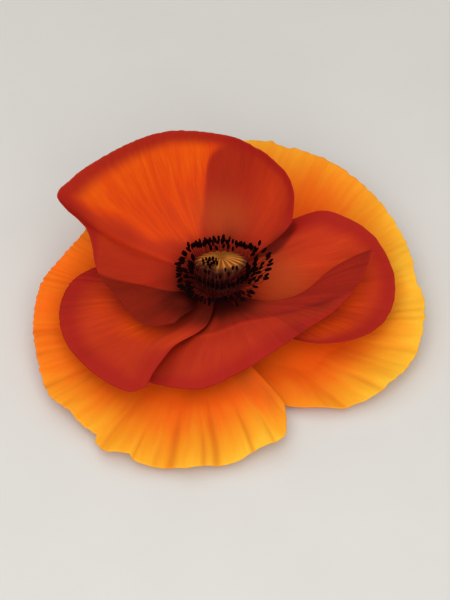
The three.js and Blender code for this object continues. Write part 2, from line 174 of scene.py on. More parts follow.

# %% [markdown]
# ## Outer left petal
# The left petal lies over the right one at both of their seams. It hangs lowest in front,
# where its rim is torn and pleated most. Its dusk rows are soft brown painted shade by the
# seam and the pleats: azimuth, place along the petal, width, length and strength.

# %% Outer left petal
OUTER_LEFT = dict(
    name="outer_left", claw=(122, 268), claw_height=5.3, hold=(0.42, 0.36),
    ribs=[
        (112, 33, 9.6, -10, 22, -6), (126, 41, 11.4, -14, 26, -2), (142, 42, 12.0, -24, 26, 0),
        (156, 38.4, 11.2, -29, 25, 0), (168, 40.8, 10.2, -31, 24, 0), (180, 45.2, 8.8, -32, 20, 0),
        (194, 47.9, 7.4, -32, 16, 0), (208, 50.5, 6.2, -32, 12, 0), (222, 53.2, 4.8, -31, 6, 0),
        (236, 54.4, 3.8, -31, 4, 0), (250, 54.5, 3.2, -31, 2, 0), (264, 52.9, 3.1, -30, 0, 0),
        (276, 50.0, 3.6, -25, 2, 1), (283, 48.0, 4.4, -18, 3, 2), (288.9, 46.8, 4.9, -13, 3, 2),
        (290.2, 45.2, 4.9, -12, 3, 2), (294, 37.6, 4.6, -9, 3, 2),
    ],
    folds=[
        (124, 0), (138, 0.5), (150, -0.4), (161, 0.5), (172, -0.4), (183, 0.6), (194, -0.4),
        (204, 0.6), (214, -0.3), (224, 0.4), (236, -0.5), (245, 0.7), (254, -0.6), (263, 0.7),
        (272, -0.5), (281, 0.5), (288, 0),
    ],
    tears=[
        (219, 0), (225, -1.9), (231, -1.8), (235.4, -2.4), (236.2, -0.8), (238, 0.2), (241, 0.3),
        (246.2, -1.4), (247.2, -0.4), (252, -0.1), (257, -0.8), (261, 0), (266, -0.8), (271, 0),
    ],
    columns=320, rows=84, seed=12, crinkle=0.2,
    pleats=[
        (196.5, 1.0, 0.7, 0.35), (205.5, 1.2, 0.68, 0.35), (215, 1.1, 0.68, 0.4), (223, 1.0, 0.7, 0.3),
        (239, 0.9, 0.5, 0.3), (247.4, 0.7, 0.66, 0.35), (253, 1.2, 0.66, 0.3), (257, 1.5, 0.5, 0.45),
        (265.6, 1.1, 0.6, 0.4), (269, 1.5, 0.46, 0.45), (279, 0.9, 0.55, 0.45), (285.4, 0.9, 0.66, 0.35),
    ],
    dusk=[
        (289, 0.5, 5, 0.16, 1.3), (277, 0.52, 8, 0.1, 0.6), (292, 0.78, 3, 0.16, 1.1),
        (284, 0.6, 8, 0.12, 0.5), (216, 0.62, 12, 0.12, 0.3),
    ],
    pale=[
        (112, 0.6, 0.7), (142, 0.62, 0.6), (170, 0.66, 0.3), (185, 0.66, 0.25), (200, 0.66, 0.3),
        (209, 0.64, 0.4), (219, 0.6, 0.66), (235, 0.6, 0.75), (250, 0.6, 0.85), (258, 0.62, 0.8),
        (267, 0.6, 0.9), (275, 0.6, 1.0), (286, 0.62, 1.05), (294, 0.74, 0.8),
    ],
)
print(OUTER_LEFT["name"], "has", len(OUTER_LEFT["ribs"]), "ribs")

# %% [markdown]
# ## The four inner petals
# The inner whorl is smaller, redder and cupped. Each petal rises from the receptacle just
# above the one before. Its tone runs from 0, maroon, to 1, orange. Margin rows are the
# azimuth and the width of its crimson edge. Patches paint light and shade into the tone, as
# with an airbrush: most lighten it for a glow or against a neighbour's shadow, or darken it
# as shade in folds and where petals overlap. Brown ones lay a brownish tint over it, which is
# painted shade in the turned-in right side of the back petal and in the bowl of the front one.
# Both kinds of row are azimuth, place along the petal, width, length and strength. The right
# petal lies low, and is in painted shade beyond a slanting line.

# %% Inner right petal
INNER_RIGHT = dict(
    name="inner_right", claw=(-37, 62), claw_height=6.0, hold=(0.4, 0.4),
    ribs=[
        (-45, 23, 7.2, 0, 2, 4), (-37, 31, 7.6, 0, 4, 0), (-26, 38.8, 8.4, 0, 6, 0),
        (-14, 43.2, 10.2, 1, 12, 0), (-4, 43.4, 13.0, 3, 20, 0), (6, 41.4, 15.2, 7, 26, 0),
        (14.5, 39, 16.6, 11, 30, 0), (24, 34.6, 17.8, 15, 35, 0), (32, 29.8, 18.4, 17, 40, 0),
        (37, 22.5, 17.6, 19, 44, -2),
    ],
    folds=[(-40, 0), (-30, 0.3), (-20, -0.3), (-8, 0.3), (4, -0.2), (14, 0.2), (26, 0)],
    columns=180, rows=84, seed=13, crinkle=0.07,
    tone=0.68,
    margin=[
        (-45, 0.6), (-36, 1.0), (-26, 3.4), (-16, 4.8), (-4, 4.2), (8, 4.0), (20, 4.6), (32, 5.0),
        (37, 3.0),
    ],
    shade_from=[
        (0, 40, 2), (0.36, 24, 2), (0.45, 25.4, 1.8), (0.55, 28.4, 1.6), (0.65, 30.8, 1.4),
        (0.78, 33, 1.2), (0.9, 34.8, 1.2), (1, 37, 1.2),
    ],
    patches=[
        (4, 0.55, 16, 0.25, 0.04), (26, 0.45, 12, 0.2, -0.06), (-29, 0.76, 8, 0.14, 0.16),
        (-10, 0.74, 11, 0.1, 0.12),
    ],
    brown=[(0, 0.28, 45, 0.22, 0.8)],
)
print(INNER_RIGHT["name"], "has", len(INNER_RIGHT["ribs"]), "ribs")

# %% [markdown]
# ## Inner front petal
# The front petal rises from the heart to a ridge, folds over it and droops to a lip. The
# rows of ridge say how far out it lies at each azimuth. The edge over the right petal is
# bent: a row of edge_bend is a place along the petal and how many degrees the edge turns
# back there.

# %% Inner front petal
INNER_FRONT = dict(
    name="inner_front", claw=(254, 320), claw_height=6.8, hold=(0.5, 0.5),
    ribs=[
        (236, 34, 5.4, 6, -10, 0), (249, 33.0, 5.9, 10, -24, 0), (262, 31.6, 6.0, 16, -36, 0),
        (276, 28.2, 6.8, 20, -38, 0), (291, 26.3, 8.2, 23, -32, 0), (306, 26.0, 10.0, 25, -18, 0),
        (321, 27.4, 12.0, 26, 0, 0), (336, 31.4, 14.4, 26, 12, 0), (350, 34.9, 17.0, 26, 24, 0),
        (363, 37.4, 19.0, 26, 34, -8),
    ],
    folds=[(242, 0), (253, 0.2), (263, -0.2), (274, 0.3), (286, -0.2), (298, 0.2), (310, 0)],
    edge_bend=[(0, 0), (0.2, 6), (0.36, 10), (0.52, 3), (0.68, -3), (0.85, -2.5), (1, 0)],
    columns=200, rows=84, seed=14, crinkle=0.07,
    tone=0.57,
    margin=[
        (236, 2.0), (249, 3.0), (270, 4.0), (300, 4.4), (318, 3.4), (335, 0.8), (350, 0.2), (363, 0.2),
    ],
    patches=[
        (245, 0.95, 5, 0.2, -0.12), (256, 0.32, 12, 0.16, 0.22), (276, 0.42, 18, 0.15, 0.12),
        (250, 0.52, 6, 0.1, 0.08), (348, 0.97, 8, 0.07, 0.05), (334, 0.92, 7, 0.08, -0.08),
        (314, 0.98, 12, 0.14, -0.14),
    ],
    brown=[(325, 0.4, 26, 0.2, 0.5)],
    ridge=[
        (236, 0.44), (250, 0.48), (270, 0.49), (290, 0.52), (311, 0.66), (326, 0.77), (333, 0.84),
        (345, 1.0),
    ],
)
print(INNER_FRONT["name"], "has", len(INNER_FRONT["ribs"]), "ribs")

# %% [markdown]
# ## Inner left petal
# The left petal lies flat and wide. Its front edge runs in an S over the front petal, so
# its last rib swings sideways and the edge is bent as well.

# %% Inner left petal
INNER_LEFT = dict(
    name="inner_left", claw=(176, 252), claw_height=7.7, hold=(0.4, 0.4),
    ribs=[
        (165, 25, 11.6, 10, 16, 0), (174, 30.6, 11.7, 9, 12, 0), (183, 37.0, 11.9, 8, 8, 0),
        (194, 40.8, 12.1, 7, 6, 0), (204, 42.7, 11.1, 7, 2, 0), (214, 42.9, 10.3, 8, -2, 0),
        (224, 42.4, 9.5, 10, -6, 0), (232, 41.5, 8.9, 14, -10, 0), (238, 40.3, 8.7, 17, -13, 0),
        (242, 37.4, 9.3, 20, -12, 24),
    ],
    folds=[(170, 0), (180, 0.2), (190, -0.3), (201, 0.3), (211, -0.3), (221, 0.3), (231, 0)],
    edge_bend=[(0, 0), (0.34, 0), (0.6, 6.5), (0.82, 3), (1, 0)],
    columns=180, rows=84, seed=15, crinkle=0.07,
    tone=0.64,
    margin=[(165, 1.5), (180, 4.0), (197, 5.5), (214, 4.8), (230, 5.2), (238, 4.0), (242, 0.4)],
    patches=[
        (210, 0.6, 14, 0.22, 0.03), (228, 0.56, 11, 0.13, 0.14), (236, 0.85, 14, 0.2, -0.05),
        (240, 0.3, 7, 0.1, -0.14), (213, 0.59, 8, 0.1, 0.2), (196, 0.73, 9, 0.1, 0.12),
    ],
)
print(INNER_LEFT["name"], "has", len(INNER_LEFT["ribs"]), "ribs")

# %% [markdown]
# ## Inner back petal
# The back petal stands up behind the heart as a bowl and runs down on the left to a flap.
# A painted glow, for the light that comes through it, lies between the lines glow_from and
# glow_to, and painted shade darkens it beyond overlap_from, where it lies on the left petal.
# Each row of a line is a place along the petal, the azimuth there and how many degrees the
# edge of the colour takes.

# %% Inner back petal
INNER_BACK = dict(
    name="inner_back", claw=(50, 205), claw_height=8.7, hold=(0.4, 0.4),
    ribs=[
        (30, 20.6, 20, 18, 55, 0), (38, 22.8, 28, 16, 75, 0), (53, 23.2, 33, 14, 85, 0),
        (78, 23.6, 36, 12, 88, 0), (107, 25.7, 38, 12, 85, 0), (132, 29.5, 38, 12, 78, 0),
        (151, 33.5, 37, 12, 70, 0), (164, 38.2, 35, 12, 60, 0), (171, 40.0, 33, 12, 54, 0),
        (177, 32.9, 26.8, 13, 46, 0), (192, 30.7, 20.2, 14, 33, 0), (207, 27.8, 17.6, 14, 22, 0),
        (227, 26.2, 15.4, 12, 14, 0), (238, 20.5, 14.4, 11, 10, 26),
    ],
    folds=[(40, 0), (60, 0.3), (80, -0.3), (100, 0.2), (120, -0.3), (140, 0.3), (160, 0)],
    tears=[(166, 0), (171, 0.2), (175, -0.2), (180, 0)],
    columns=300, rows=96, seed=16, crinkle=0.06,
    tone=0.57,
    margin=[
        (30, 2.0), (50, 2.6), (75, 3.0), (93, 3.6), (113, 4.0), (130, 4.6), (152, 5.0), (165, 5.6),
        (172, 5.6), (178, 2.4), (186, 0.8), (192, 0.2), (238, 0.2),
    ],
    patches=[
        (175.5, 0.85, 2.5, 0.13, 0.1), (173, 0.62, 2.5, 0.13, 0.12), (172, 0.42, 3, 0.12, 0.12),
        (172, 0.25, 4, 0.1, 0.08), (231, 0.42, 5, 0.14, 0.16), (72, 0.3, 18, 0.15, -0.17),
        (160, 0.38, 9, 0.12, 0.14), (167, 0.68, 4, 0.14, 0.08), (50, 0.7, 14, 0.3, 0.12),
        (86, 0.72, 14, 0.2, -0.06), (30, 0.7, 3.5, 0.22, -0.2),
    ],
    brown=[(84, 0.4, 30, 0.18, 0.9)],
    glow_from=[
        (0.0, 114, 6), (0.2, 112, 6), (0.33, 108.7, 5), (0.46, 102.5, 2.6), (0.6, 100.4, 1.6),
        (0.75, 98.3, 1.6), (0.84, 95.2, 2.6), (0.94, 88, 6), (1.0, 84, 8),
    ],
    glow_to=[
        (0.0, 134, 10), (0.23, 142, 10), (0.35, 154, 9), (0.46, 159, 8), (0.65, 163, 6),
        (0.8, 166, 4), (1.0, 169, 3),
    ],
    overlap_from=[(0.0, 240, 2), (0.31, 221, 1.2), (0.5, 209, 1.2), (0.68, 199, 1.2), (1.0, 192.6, 1.2)],
)
PETALS = [OUTER_RIGHT, OUTER_LEFT, INNER_RIGHT, INNER_FRONT, INNER_LEFT, INNER_BACK]
print(INNER_BACK["name"], "has", len(INNER_BACK["ribs"]), "ribs; petals in all:", len(PETALS))

# %% [markdown]
# ## The ribs of a petal
# A rib is a Bezier curve of four stations. It starts at the claw, keeps its first slope for
# a while, turns to its last slope and ends at the rim. On the way it swings from where the
# claw grows to where its rim end lies: EARLY_TURN and LATE_TURN say how much of that swing
# its two middle stations have made.

# %% Ribs of a petal
CLAW_RADIUS = 3.7
EARLY_TURN, LATE_TURN = 0.55, 0.95


def rib_stations(petal, azimuth):
    rim_radius, rim_height, leave, arrive, swing = np.moveaxis(through(petal["ribs"], azimuth), -1, 0)
    first, last = petal["ribs"][0][0], petal["ribs"][-1][0]
    claw_azimuth = mix(*petal["claw"], (azimuth - first) / (last - first))
    claw_height = petal["claw_height"]
    length = np.hypot(rim_radius - CLAW_RADIUS, rim_height - claw_height)
    outward, inward = length * petal["hold"][0], length * petal["hold"][1]
    leave, arrive = np.radians(leave), np.radians(arrive)
    stations = [
        (CLAW_RADIUS, claw_azimuth, claw_height),
        (CLAW_RADIUS + outward * np.cos(leave), mix(claw_azimuth, azimuth, EARLY_TURN) + swing,
         claw_height + outward * np.sin(leave)),
        (rim_radius - inward * np.cos(arrive), mix(claw_azimuth, azimuth, LATE_TURN),
         rim_height - inward * np.sin(arrive)),
        (rim_radius, azimuth, rim_height),
    ]
    return stations, np.sin(arrive)


print("claws stand", CLAW_RADIUS, "mm from the axis")

# %% [markdown]
# ## The sheet of a petal
# On top of the soft folds come what only a fine mesh can hold: creases where the petal was
# packed in its bud, and a crinkled, scalloped edge. Each is a sum of sine waves of several
# lengths, with seeded phases, because a single wave would look like corrugated card. They
# start at FOLD_START, since the petal is smooth near the heart, and grow to the rim. The
# creases and the crinkle lift the sheet along the normal that it has at its rim, and the
# scallop moves the rim in and out.

# %% Sheet of a petal
FOLD_START = 0.35
CREASE_DEPTH = 0.09
CREASE_LENGTHS, CRINKLE_LENGTHS, SCALLOP_LENGTHS = (4.5, 11), (1.8, 4), (2.4, 7)
PLEAT_RUN = 0.3
EDGE_BEND_REACH = 22
STRAIGHT_EDGE = [(0, 0), (1, 0)]
CRINKLE_SEED, SCALLOP_SEED = 50, 90
SHEET = 0.36


def waves(seed, x, lengths, count=9):
    random = np.random.RandomState(seed)
    total = np.zeros_like(x)
    for length in np.geomspace(*lengths, count):
        total += np.sin(2 * np.pi * (x / length + random.rand())) * random.uniform(0.6, 1)
    return total / math.sqrt(count)


def pleats(petal, azimuth, out):
    total = np.zeros_like(azimuth)
    for place, width, start, depth in petal.get("pleats", []):
        total += depth * bell(azimuth - place, width) * smoothstep(out, start, start + PLEAT_RUN)
    return total


def petal_points(petal, azimuth, out):
    stations, steep = rib_stations(petal, azimuth)
    weights = curve_weights(out)
    radius, turn, height = [sum(w * s[k] for w, s in zip(weights, stations)) for k in range(3)]
    last = petal["ribs"][-1][0]
    edge_bend = through(petal.get("edge_bend", STRAIGHT_EDGE), out)[..., 0]
    turn = np.radians(turn - edge_bend * smoothstep(azimuth, last - EDGE_BEND_REACH, last))
    near_rim = smoothstep(out, FOLD_START, 1)
    along_rim = np.radians(azimuth) * stations[-1][0]
    folded = (azimuth >= petal["folds"][0][0]) & (azimuth <= petal["folds"][-1][0])
    fold = np.where(folded, through(petal["folds"], azimuth)[..., 0], 0) * near_rim
    seed, edge = petal["seed"], petal["crinkle"]
    crease = CREASE_DEPTH * waves(seed, along_rim, CREASE_LENGTHS) * near_rim
    crinkle = edge * 0.5 * waves(seed + CRINKLE_SEED, along_rim, CRINKLE_LENGTHS) * near_rim**3
    scallop = edge * waves(seed + SCALLOP_SEED, along_rim, SCALLOP_LENGTHS) * near_rim**5
    tear = between(petal.get("tears", [(0, 0)]), azimuth) * near_rim**3
    lift = fold + crease + crinkle - pleats(petal, azimuth, out)
    radius = radius + tear + scallop - lift * steep
    height = np.maximum(height + lift * np.sqrt(1 - steep**2), SHEET / 2)
    return np.stack([radius * np.cos(turn), radius * np.sin(turn), height], axis=-1)


print("a petal is", SHEET, "mm thick and its creases", CREASE_DEPTH, "mm deep")

# %% [markdown]
# ## Growing the petals
# Each petal starts as a flat grid whose two directions stand for across and outwards.
# Its points are carried onto the ribs, which keeps a clean UV map that follows the
# petal. How far each point is from the edge is measured here, for the thickness and the
# crimson margin. The sides count only beyond EDGE_START, because near the heart they close
# in on the claw.

# %% Petal sheets
ON_EDGE = 0.001
EDGE_START = 0.25
POINTS_AT_ONCE = 4000


def distance_to(edge, points):
    found = np.empty(len(points))
    for start in range(0, len(points), POINTS_AT_ONCE):
        some = slice(start, start + POINTS_AT_ONCE)
        found[some] = np.sqrt(((points[some, None, :] - edge[None])**2).sum(-1).min(1))
    return found


def petal_sheet(petal):
    bpy.ops.mesh.primitive_grid_add(x_subdivisions=petal["columns"], y_subdivisions=petal["rows"], size=1)
    piece = bpy.context.active_object
    piece.name = piece.data.name = petal["name"] + "_petal"
    mesh = piece.data
    place = np.empty(len(mesh.vertices) * 3, np.float32)
    mesh.vertices.foreach_get("co", place)
    across, out = place.reshape(-1, 3)[:, :2].T.astype(float) + 0.5
    azimuth = mix(petal["ribs"][-1][0], petal["ribs"][0][0], across)
    points = petal_points(petal, azimuth, out)
    mesh.vertices.foreach_set("co", (points * MM + axis).astype(np.float32).ravel())
    mesh.update()
    on_side = (across < ON_EDGE) | (across > 1 - ON_EDGE)
    on_edge = (out > 1 - ON_EDGE) | (on_side & (out > EDGE_START))
    bpy.ops.object.select_all(action="DESELECT")
    print(piece.name, len(mesh.vertices), "points")
    return dict(piece=piece, azimuth=azimuth, out=out, points=points,
                from_edge=distance_to(points[on_edge][::2], points))


sheets = {petal["name"]: petal_sheet(petal) for petal in PETALS}

# %% [markdown]
# ## Masks for the colours
# Colour on a petal follows its growth. A poppy petal lets light through, so it glows where
# nothing lies behind it and darkens where another one does; here that glow and that shade are
# painted into the colour. An image could be painted for that, but values kept on the mesh
# stay sharp at any size and need no file. They are soft patches and soft-edged lines, placed
# along and across the petal.

# %% Mask helpers
def soft_patches(rows, azimuth, out):
    total = np.zeros_like(azimuth)
    for place, share, wide, long, strength in rows:
        total += strength * np.exp(-(((azimuth - place) / wide) ** 2 + ((out - share) / long) ** 2))
    return total


def across_line(line, azimuth, out):
    place, soft = np.moveaxis(through(line, out), -1, 0)
    return smoothstep((azimuth - place) / soft, -1, 1)


def keep_values(mesh, name, values):
    mesh.attributes.new(name, "FLOAT", "POINT").data.foreach_set("value", values.astype(np.float32))


print("a line's edge, from side to side:", smoothstep(np.linspace(-1, 1, 5), -1, 1))

# %% [markdown]
# ## Masks of the inner petals
# The tone gathers all that makes a petal lighter or darker: its patches of painted light and
# shade, its painted glow, the painted shade of its neighbours, and the dark blotch at the foot
# of the petals round the point BLOTCH_AND_SHADE, partly the petals' own dark base and partly
# painted shade round the heart. The margin is the distance to the edge in margin widths, and
# the crimson runs from MARGIN_START to MARGIN_FULL, but not near the heart. The front petal
# has painted shade on the heart's side of its ridge and along the ridge near its tip, and a
# thin painted highlight along the rest of it, and a crimson line runs along the ridge.

# %% Masks of the inner petals
BLOTCH_AND_SHADE = (-2.5, -5.5, 9.5)
BLOTCH_AND_SHADE_DEPTH, BLOTCH_AND_SHADE_NEAR, BLOTCH_AND_SHADE_FAR = 0.42, 3, 18
OVERLAP_SHADE, NEIGHBOUR_SHADE = 0.24, 0.36
GLOW, GLOW_AT_RIM = 0.23, 0.13
MARGIN_START, MARGIN_FULL = 1.4, 0.35
RIDGE_SOFTNESS, RIDGE_SHADE = 0.03, 0.12


# Painted glow: light that comes through the petal, painted into its tone between two lines.
def glow(petal, azimuth, out):
    lit = across_line(petal["glow_from"], azimuth, out) - across_line(petal["glow_to"], azimuth, out)
    return lit * smoothstep(out, 0.1, 0.36) * (GLOW + GLOW_AT_RIM * smoothstep(out, 0.4, 0.9))


# Painted shade on the heart's side of the ridge and along it near the tip, and a thin painted highlight
# along the ridge further from the tip.
def ridge_light_and_shade(azimuth, beyond, before):
    to_tip = smoothstep(azimuth, 296, 326)
    light = 0.07 * (1 - to_tip) * bell(beyond - RIDGE_SOFTNESS, 0.04)
    dark = 0.1 * to_tip * bell(beyond - RIDGE_SOFTNESS, 0.09)
    return light - dark - RIDGE_SHADE * before


def ridge_crimson(azimuth, out, beyond, before):
    along_band = before * smoothstep(azimuth, 285, 330) * smoothstep(out, 0.2, 0.5)
    along_ridge = bell(beyond, RIDGE_SOFTNESS) * smoothstep(azimuth, 262, 285)
    return np.maximum(0.6 * along_band, 0.9 * along_ridge)


def paint_inner(petal, sheet):
    azimuth, out = sheet["azimuth"], sheet["out"]
    tone = petal["tone"] + soft_patches(petal["patches"], azimuth, out)
    near_heart = 1 - smoothstep(out, 0.4, 0.75)
    margin = sheet["from_edge"] / between(petal["margin"], azimuth) + 2 * near_heart
    if "glow_from" in petal:
        # Painted glow between glow_from and glow_to, and painted shade beyond overlap_from.
        tone += glow(petal, azimuth, out)
        tone -= OVERLAP_SHADE * across_line(petal["overlap_from"], azimuth, out)
    # Painted shade beyond a slanting line.
    if "shade_from" in petal:
        tone -= NEIGHBOUR_SHADE * across_line(petal["shade_from"], azimuth, out)
    if "ridge" in petal:
        beyond = out - between(petal["ridge"], azimuth)
        before = 1 - smoothstep(beyond, -RIDGE_SOFTNESS, RIDGE_SOFTNESS)
        tone += ridge_light_and_shade(azimuth, beyond, before)
        margin = np.minimum(margin, MARGIN_START - ridge_crimson(azimuth, out, beyond, before))
    # A dark blotch round the heart: partly the petals' own dark base, partly painted shade.
    from_blotch_and_shade = np.linalg.norm(sheet["points"] - BLOTCH_AND_SHADE, axis=1)
    tone -= BLOTCH_AND_SHADE_DEPTH * (1 - smoothstep(from_blotch_and_shade, BLOTCH_AND_SHADE_NEAR, BLOTCH_AND_SHADE_FAR))
    return dict(tone=tone, margin=margin, brown=soft_patches(petal.get("brown", []), azimuth, out))


print("the blotch reaches", BLOTCH_AND_SHADE_FAR, "mm from", BLOTCH_AND_SHADE)

# %% [markdown]
# ## Masks of the outer petals
# The outer petals keep how far they have paled towards the rim, how deep their pleats and
# dusky shades are, which are painted as shade, and how near they come to the dark claw,
# whose dark is partly its own and partly painted shade round the heart.

# %% Masks of the outer petals
HEART = (0, 0, 8)
PALE_RUN = 0.38
FULL_PLEAT = 0.4


def paint_outer(petal, sheet):
    azimuth, out = sheet["azimuth"], sheet["out"]
    places, starts, strengths = zip(*petal["pale"])
    pale = (out - np.interp(azimuth, places, starts)) / PALE_RUN * np.interp(azimuth, places, strengths)
    # Pleat depth and dusk rows together hold the painted shade in the valleys and by the seam.
    pleat = pleats(petal, azimuth, out) / FULL_PLEAT + soft_patches(petal.get("dusk", []), azimuth, out)
    from_heart = np.linalg.norm(sheet["points"] - HEART, axis=1)
    return dict(pale=pale, pleat=pleat, claw=1 - smoothstep(from_heart, 9, 17))


for petal in PETALS:
    sheet = sheets[petal["name"]]
    masks = paint_inner(petal, sheet) if "tone" in petal else paint_outer(petal, sheet)
    for name, values in masks.items():
        keep_values(sheet["piece"].data, name, values)
    print(petal["name"], "keeps", list(masks))


# %% [markdown]
# ## Thickness
# Solidify gives each sheet its two faces, alike on both sides. The petal thins towards its
# edge, as a real one does, so the rim does not look like cut card: a vertex group holds
# the share of the thickness, from THIN_EDGE at the rim to 1 further in.

# %% Petal pieces
THIN_EDGE, THINNING = 0.45, 2.5


def thicken(petal):
    sheet = sheets[petal["name"]]
    piece = sheet["piece"]
    piece.select_set(True)
    bpy.context.view_layer.objects.active = piece
    group = piece.vertex_groups.new(name="thickness")
    weight = (THIN_EDGE + (1 - THIN_EDGE) * smoothstep(sheet["from_edge"], 0, THINNING)).round(2)
    for level in np.unique(weight):
        group.add(np.flatnonzero(weight == level).tolist(), float(level), "REPLACE")
    solidify = piece.modifiers.new("thickness", "SOLIDIFY")
    solidify.thickness = SHEET * MM
    solidify.offset = 0
    solidify.vertex_group = "thickness"
    bpy.ops.object.modifier_apply(modifier="thickness")
    bpy.ops.object.shade_smooth()
    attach(piece, "root")
    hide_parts(petal["name"])
    bpy.ops.object.select_all(action="DESELECT")
    print(piece.name, len(piece.data.polygons), "faces")
    return piece


petal_pieces = {petal["name"]: thicken(petal) for petal in PETALS}

# %% [markdown]
# ## Turned forms
# The receptacle, the ovary and the disc are round. A circle of edges is extruded row by
# row and resized to the next radius, as a potter pulls up a wall, and its two ends are
# merged to a point so that the skin is closed. A Screw modifier would turn them too, but
# here every row is one plain step.

# %% Turn a profile
SAME_HEIGHT = 1e-6


def merge_end(piece, height):
    bpy.ops.object.mode_set(mode="EDIT")
    bpy.ops.mesh.select_all(action="DESELECT")
    bpy.ops.object.mode_set(mode="OBJECT")
    for vertex in piece.data.vertices:
        vertex.select = abs(vertex.co.z - height * MM) < SAME_HEIGHT
    bpy.ops.object.mode_set(mode="EDIT")
    bpy.ops.mesh.select_mode(type="VERT")
    bpy.ops.mesh.merge(type="CENTER")
    bpy.ops.object.mode_set(mode="OBJECT")


def turned(name, profile, segments):
    radius, height = profile[0]
    bpy.ops.mesh.primitive_circle_add(
        vertices=segments, radius=radius * MM, location=(axis[0], axis[1], height * MM))
    piece = bpy.context.active_object
    piece.name = piece.data.name = name
    bpy.ops.object.transform_apply(location=True)
    bpy.ops.object.mode_set(mode="EDIT")
    bpy.ops.mesh.select_all(action="SELECT")
    for next_radius, next_height in profile[1:]:
        bpy.ops.mesh.extrude_region_move(
            TRANSFORM_OT_translate={"value": (0, 0, (next_height - height) * MM)})
        share = next_radius / radius
        bpy.ops.transform.resize(
            value=(share, share, 1), center_override=(axis[0], axis[1], next_height * MM))
        radius, height = next_radius, next_height
    bpy.ops.object.mode_set(mode="OBJECT")
    merge_end(piece, profile[0][1])
    merge_end(piece, profile[-1][1])
    bpy.ops.object.mode_set(mode="EDIT")
    bpy.ops.mesh.select_all(action="SELECT")
    bpy.ops.mesh.normals_make_consistent(inside=False)
    bpy.ops.object.mode_set(mode="OBJECT")
    heights = [row[1] for row in profile]
    print(name, "is turned from", min(heights), "to", round(max(heights), 1), "mm")
    return piece


def points_of(piece):
    place = np.empty(len(piece.data.vertices) * 3)
    piece.data.vertices.foreach_get("co", place)
    return (place.reshape(-1, 3) - axis) / MM


def put_points(piece, points):
    piece.data.vertices.foreach_set("co", (points * MM + axis).ravel())
    piece.data.update()


# %% [markdown]
# ## Receptacle and stub
# Under the petals the stalk swells to a small cushion that everything grows from. It was
# picked with a short stub, whose cut end is slightly hollow. Its rows are radius and height,
# and a cosine gives the stub the shallow ribs of a fresh stalk.

# %% Receptacle
STALK_RIBS, RIB_RELIEF = 9, 0.035
receptacle = turned("receptacle_stub", [
    (0.25, 0.75), (1.1, 0.62), (1.42, 0.5), (1.5, 0.62), (1.47, 1.2), (1.52, 1.9), (1.72, 2.35),
    (2.1, 2.75), (2.7, 3.2), (3.05, 3.7), (3.15, 4.4), (3.1, 5.2), (3.12, 6.2), (3.15, 7.6),
    (3.15, 8.9), (3.0, 9.25), (2.4, 9.3), (0.3, 9.3),
], 48)
points = points_of(receptacle)
turn = np.arctan2(points[:, 1], points[:, 0])
ribbed = smoothstep(np.hypot(points[:, 0], points[:, 1]), 0.8, 1.4) * (1 - smoothstep(points[:, 2], 3.4, 5))
points[:, :2] *= (1 + RIB_RELIEF * np.cos(STALK_RIBS * turn) * ribbed)[:, None]
put_points(receptacle, points)
print("receptacle", len(receptacle.data.polygons), "faces")

# %% [markdown]
# ## Hairs on the stub
# Poppy stalks are hairy. A hair is a slim three-sided spike, modelled once and copied with
# its foot sunk in the skin. Turning each one by the golden angle spreads them evenly
# without rows, and a seeded draw makes them lean differently.

# %% Hairs on the stub
HAIR_COUNT = 90
HAIR_LENGTH, HAIR_RADIUS, HAIR_MIDDLE = 1.3, 0.05, 0.5
GOLDEN_ANGLE = 137.5
STUB_SKIN = [(0.5, 1.48), (1.9, 1.5), (2.75, 2.05), (3.7, 3.0)]
bpy.ops.mesh.primitive_cone_add(
    vertices=3, radius1=HAIR_RADIUS * MM, radius2=0.0, depth=HAIR_LENGTH * MM)
hair = bpy.context.active_object
hair_random = np.random.RandomState(21)
hairs = []
for i in range(HAIR_COUNT):
    height = hair_random.uniform(0.8, 3.6)
    radius = float(between(STUB_SKIN, height))
    azimuth = math.radians(i * GOLDEN_ANGLE + hair_random.uniform(-20, 20))
    outward = Vector((math.cos(azimuth), math.sin(azimuth), -0.25))
    lean = Vector(hair_random.uniform(-0.25, 0.25, 3))
    facing = (outward + lean).to_track_quat("Z", "X")
    foot = Vector(axis) + Vector((outward.x * radius, outward.y * radius, height)) * MM
    copy = bpy.data.objects.new("hair", hair.data.copy())
    copy.data.transform(Matrix.Translation(foot) @ facing.to_matrix().to_4x4()
                        @ Matrix.Translation((0, 0, HAIR_MIDDLE * MM)))
    bpy.context.scene.collection.objects.link(copy)
    hairs.append(copy)
bpy.data.objects.remove(hair)
bpy.ops.object.select_all(action="DESELECT")
for copy in hairs:
    copy.select_set(True)
receptacle.select_set(True)
bpy.context.view_layer.objects.active = receptacle
bpy.ops.object.join()
bpy.ops.object.shade_smooth_by_angle(angle=math.radians(50))
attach(receptacle, "root")
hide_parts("receptacle")
bpy.ops.object.select_all(action="DESELECT")
print("receptacle with hairs", len(receptacle.data.polygons), "faces")

# %% [markdown]
# ## Seed head
# The ovary is a small urn. On it lies the stigmatic disc, a shallow dome with a scalloped
# skirt. Both are one turned profile of radius and height, whose upper rows are worked
# out, because a dome needs many rings to carry fine rays.

